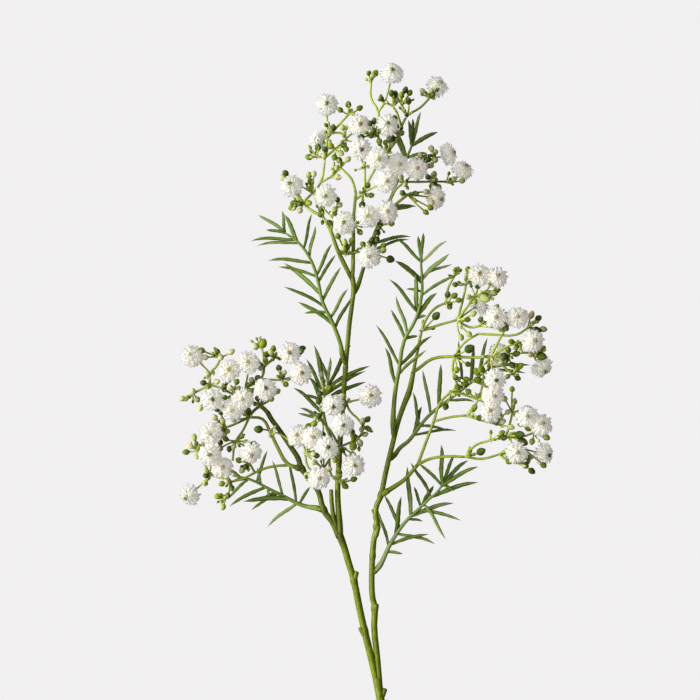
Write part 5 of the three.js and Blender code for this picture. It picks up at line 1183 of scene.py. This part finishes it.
# One petal: a strap that widens to a blunt, notched tip, bowed outwards along its length.
bm = bmesh.new()
bmesh.ops.create_grid(bm, x_segments=2, y_segments=petal_steps, size=0.5)
for vert in bm.verts:
    share = vert.co.y + 0.5
    row = round(share * petal_steps)
    column = round(vert.co.x * 2)
    along = share + (petal_tip[column] if row == petal_steps else 0)
    bow = petal_bow * share * (1 - share) - petal_droop * share + petal_trough * abs(column)
    vert.co = (vert.co.x * petal_widths[row], along, bow)
bmesh.ops.solidify(bm, geom=bm.faces[:], thickness=petal_thickness)
bmesh.ops.recalc_face_normals(bm, faces=bm.faces[:])
petal_mesh = mesh_of(bm, "petal")


def leaning(angle, length):
    """A step of some length that leans from the head's axis by an angle."""
    return Vector((math.sin(angle), 0, math.cos(angle))) * length


def add_pistil(bm, stand, chance):
    """A low dome of knobs in the middle of a head."""
    for index in range(pistil_knobs):
        share = math.sqrt(index / pistil_knobs)
        turn = golden_angle * index
        spot = Vector((math.cos(turn), math.sin(turn), -pistil_dome)) * share * pistil_radius
        spot.z += pistil_reach + chance.uniform(-knob_swing, knob_swing)
        knob_place = stand @ Matrix.Translation(spot * MM) @ Matrix.Diagonal((1, 1, knob_length, 1))
        knob = bmesh.ops.create_icosphere(bm, subdivisions=1, radius=knob_radius * MM, matrix=knob_place)
        give_finish(knob["verts"], 2)


def add_petals(bm, stand, chance):
    """The petals of a head in a golden spiral, from the upright inner ones to the flat outer ones."""
    for index in range(petal_count):
        share = (index + 0.5) / petal_count
        angle = math.acos(innermost_cosine - share * cosine_fall) + chance.uniform(*petal_angle_swing)
        upright = max(0.0, 1 - angle / upright_angle)
        reach = head_radius * (1 - upright_shortening * upright) * chance.uniform(*petal_reaches)
        root = leaning(max(angle - petal_overlap, least_root_angle), petal_root)
        tip = leaning(angle, reach)
        along = (tip - root).normalized()
        outwards = Vector((-along.z, 0, along.x))
        if outwards.dot(root) < 0:
            outwards.negate()
        lie = Matrix((along.cross(outwards), along, outwards)).transposed().to_4x4()
        length = (tip - root).length * MM
        width = chance.uniform(*petal_breadths) * MM
        turn = golden_angle * index + chance.uniform(-petal_swing, petal_swing)
        twist = chance.uniform(-petal_twist, petal_twist)
        add_copy(bm, petal_mesh, stand @ Matrix.Rotation(turn, 4, "Z") @ Matrix.Translation(root * MM)
                 @ lie @ Matrix.Rotation(twist, 4, "Y") @ Matrix.Diagonal((width, length, length, 1)))


head_marks = ("reach", "eye", "eye_tone")
head_bodies = {}
all_heads = [head for _, _, forks in sprays.values() for _, heads, _ in forks for head in heads]
for number, (name, x, y, z, *facing, eye_name) in enumerate(all_heads):
    chance = random.Random(300 + number)
    node = "head_" + next((bunch for bunch in bunches if name in bunch.split("_")), name)
    if node not in head_bodies:
        head_bodies[node] = bmesh.new()
        for mark in head_marks:
            head_bodies[node].verts.layers.float.new(mark)
    bm = head_bodies[node]
    reach_layer, eye_layer, eye_tone_layer = (bm.verts.layers.float[mark] for mark in head_marks)
    first = len(bm.verts)
    centre = place(x, y, z)
    facing = Vector(facing).normalized()
    face_turn = turned_to(facing) @ Matrix.Rotation(golden_angle * number, 4, "Z")
    stand = Matrix.Translation(centre) @ face_turn
    flat_stand = stand @ Matrix.Diagonal((1, 1, head_flatness, 1))
    bmesh.ops.create_icosphere(bm, subdivisions=1, radius=core_radius * MM, matrix=flat_stand)
    add_pistil(bm, flat_stand, chance)
    add_petals(bm, flat_stand, chance)
    bm.verts.ensure_lookup_table()
    for vert in bm.verts[first:]:
        out = vert.co - centre
        angle = out.angle(facing) if out.length > 0 else 0
        vert[reach_layer] = min(1.0, out.length / (head_radius * MM))
        vert[eye_layer] = max(0.0, min(1.0, eye_edge - angle / eye_spread)) * eye_share
        vert[eye_tone_layer] = eye_tones[eye_name]
    cup = bmesh.ops.create_cone(bm, cap_ends=True, segments=8, radius1=cup_foot * MM,
                                radius2=cup_rim * MM, depth=cup_height * MM,
                                matrix=stand @ Matrix.Translation((0, 0, -cup_back * MM)))
    give_finish(cup["verts"], 1)

for node, bm in head_bodies.items():
    for vert in bm.verts:
        vert.co.z = max(vert.co.z, 0.0)
    piece = finish_piece(bm, node + "_look", [petal_white, cup_green, pistil_skin])
    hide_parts(node)


# ---------------------------------------------------------------- table, light and camera
# A plain pale table under a soft light from the left, seen from straight above. The camera sees the
# table in one even tone, while the table gives the plant little light.

table_half = 4
table_grey = (0.07, 0.07, 0.07, 1)
table_tone = (0.887, 0.871, 0.879, 1)

bm = bmesh.new()
bmesh.ops.create_grid(bm, x_segments=1, y_segments=1, size=table_half)
table_mesh = mesh_of(bm, "table")
table = bpy.data.objects.new("table", table_mesh)
bpy.context.scene.collection.objects.link(table)
table_top, tree, shader = new_finish("table top", 0.9, 0.05)
shader.inputs["Base Color"].default_value = table_grey
glow = add_node(tree, "ShaderNodeEmission")
glow.inputs["Color"].default_value = table_tone
path = add_node(tree, "ShaderNodeLightPath")
blend = add_node(tree, "ShaderNodeMixShader")
feed(tree, path.outputs["Is Camera Ray"], blend.inputs["Fac"])
feed(tree, shader.outputs["BSDF"], blend.inputs[1])
feed(tree, glow.outputs["Emission"], blend.inputs[2])
feed(tree, blend.outputs["Shader"], tree.nodes["Material Output"].inputs["Surface"])
table_mesh.materials.append(table_top)

# The room is bright above and on the left, where its windows are, and dim on the right.
window_side = (-0.84, 0.1, 0.53)
room_tones = [
    (0.0, (0.008, 0.008, 0.008, 1)), (0.35, (0.02, 0.02, 0.019, 1)), (0.6, (0.10, 0.10, 0.097, 1)),
    (0.78, (0.52, 0.515, 0.5, 1)), (1.0, (1, 0.985, 0.95, 1)),
]
room_strength = 1.7
world = bpy.data.worlds.new("room")
bpy.context.scene.world = world
world.use_nodes = True
tree = world.node_tree
towards_window = add_node(tree, "ShaderNodeVectorMath", operation="DOT_PRODUCT")
towards_window.inputs[1].default_value = window_side
feed(tree, add_node(tree, "ShaderNodeTexCoord").outputs["Generated"], towards_window.inputs[0])
room_light = stretched(tree, towards_window.outputs["Value"], -1, 1)
feed(tree, ramp(tree, room_light, room_tones), tree.nodes["Background"].inputs["Color"])
tree.nodes["Background"].inputs["Strength"].default_value = room_strength

window_aim = Vector((0.9, -0.12, -0.4))
window = bpy.data.objects.new("window", bpy.data.lights.new("window", "SUN"))
window.data.energy = 3.5
window.data.angle = math.radians(30)
window.data.color = (1, 0.985, 0.95)
window.rotation_euler = window_aim.to_track_quat("-Z", "Y").to_euler()
bpy.context.scene.collection.objects.link(window)

eye_distance = 5
film_width = 36
seen_width = 0.42
camera = bpy.data.objects.new("camera", bpy.data.cameras.new("camera"))
camera.data.sensor_width = film_width
camera.data.lens = film_width * eye_distance / seen_width
camera.location = place(-18, 329, 30) + Vector((0, 0, eye_distance))
camera.data.clip_end = 20
bpy.context.scene.collection.objects.link(camera)
bpy.context.scene.camera = camera
bpy.context.scene.view_settings.view_transform = "Standard"
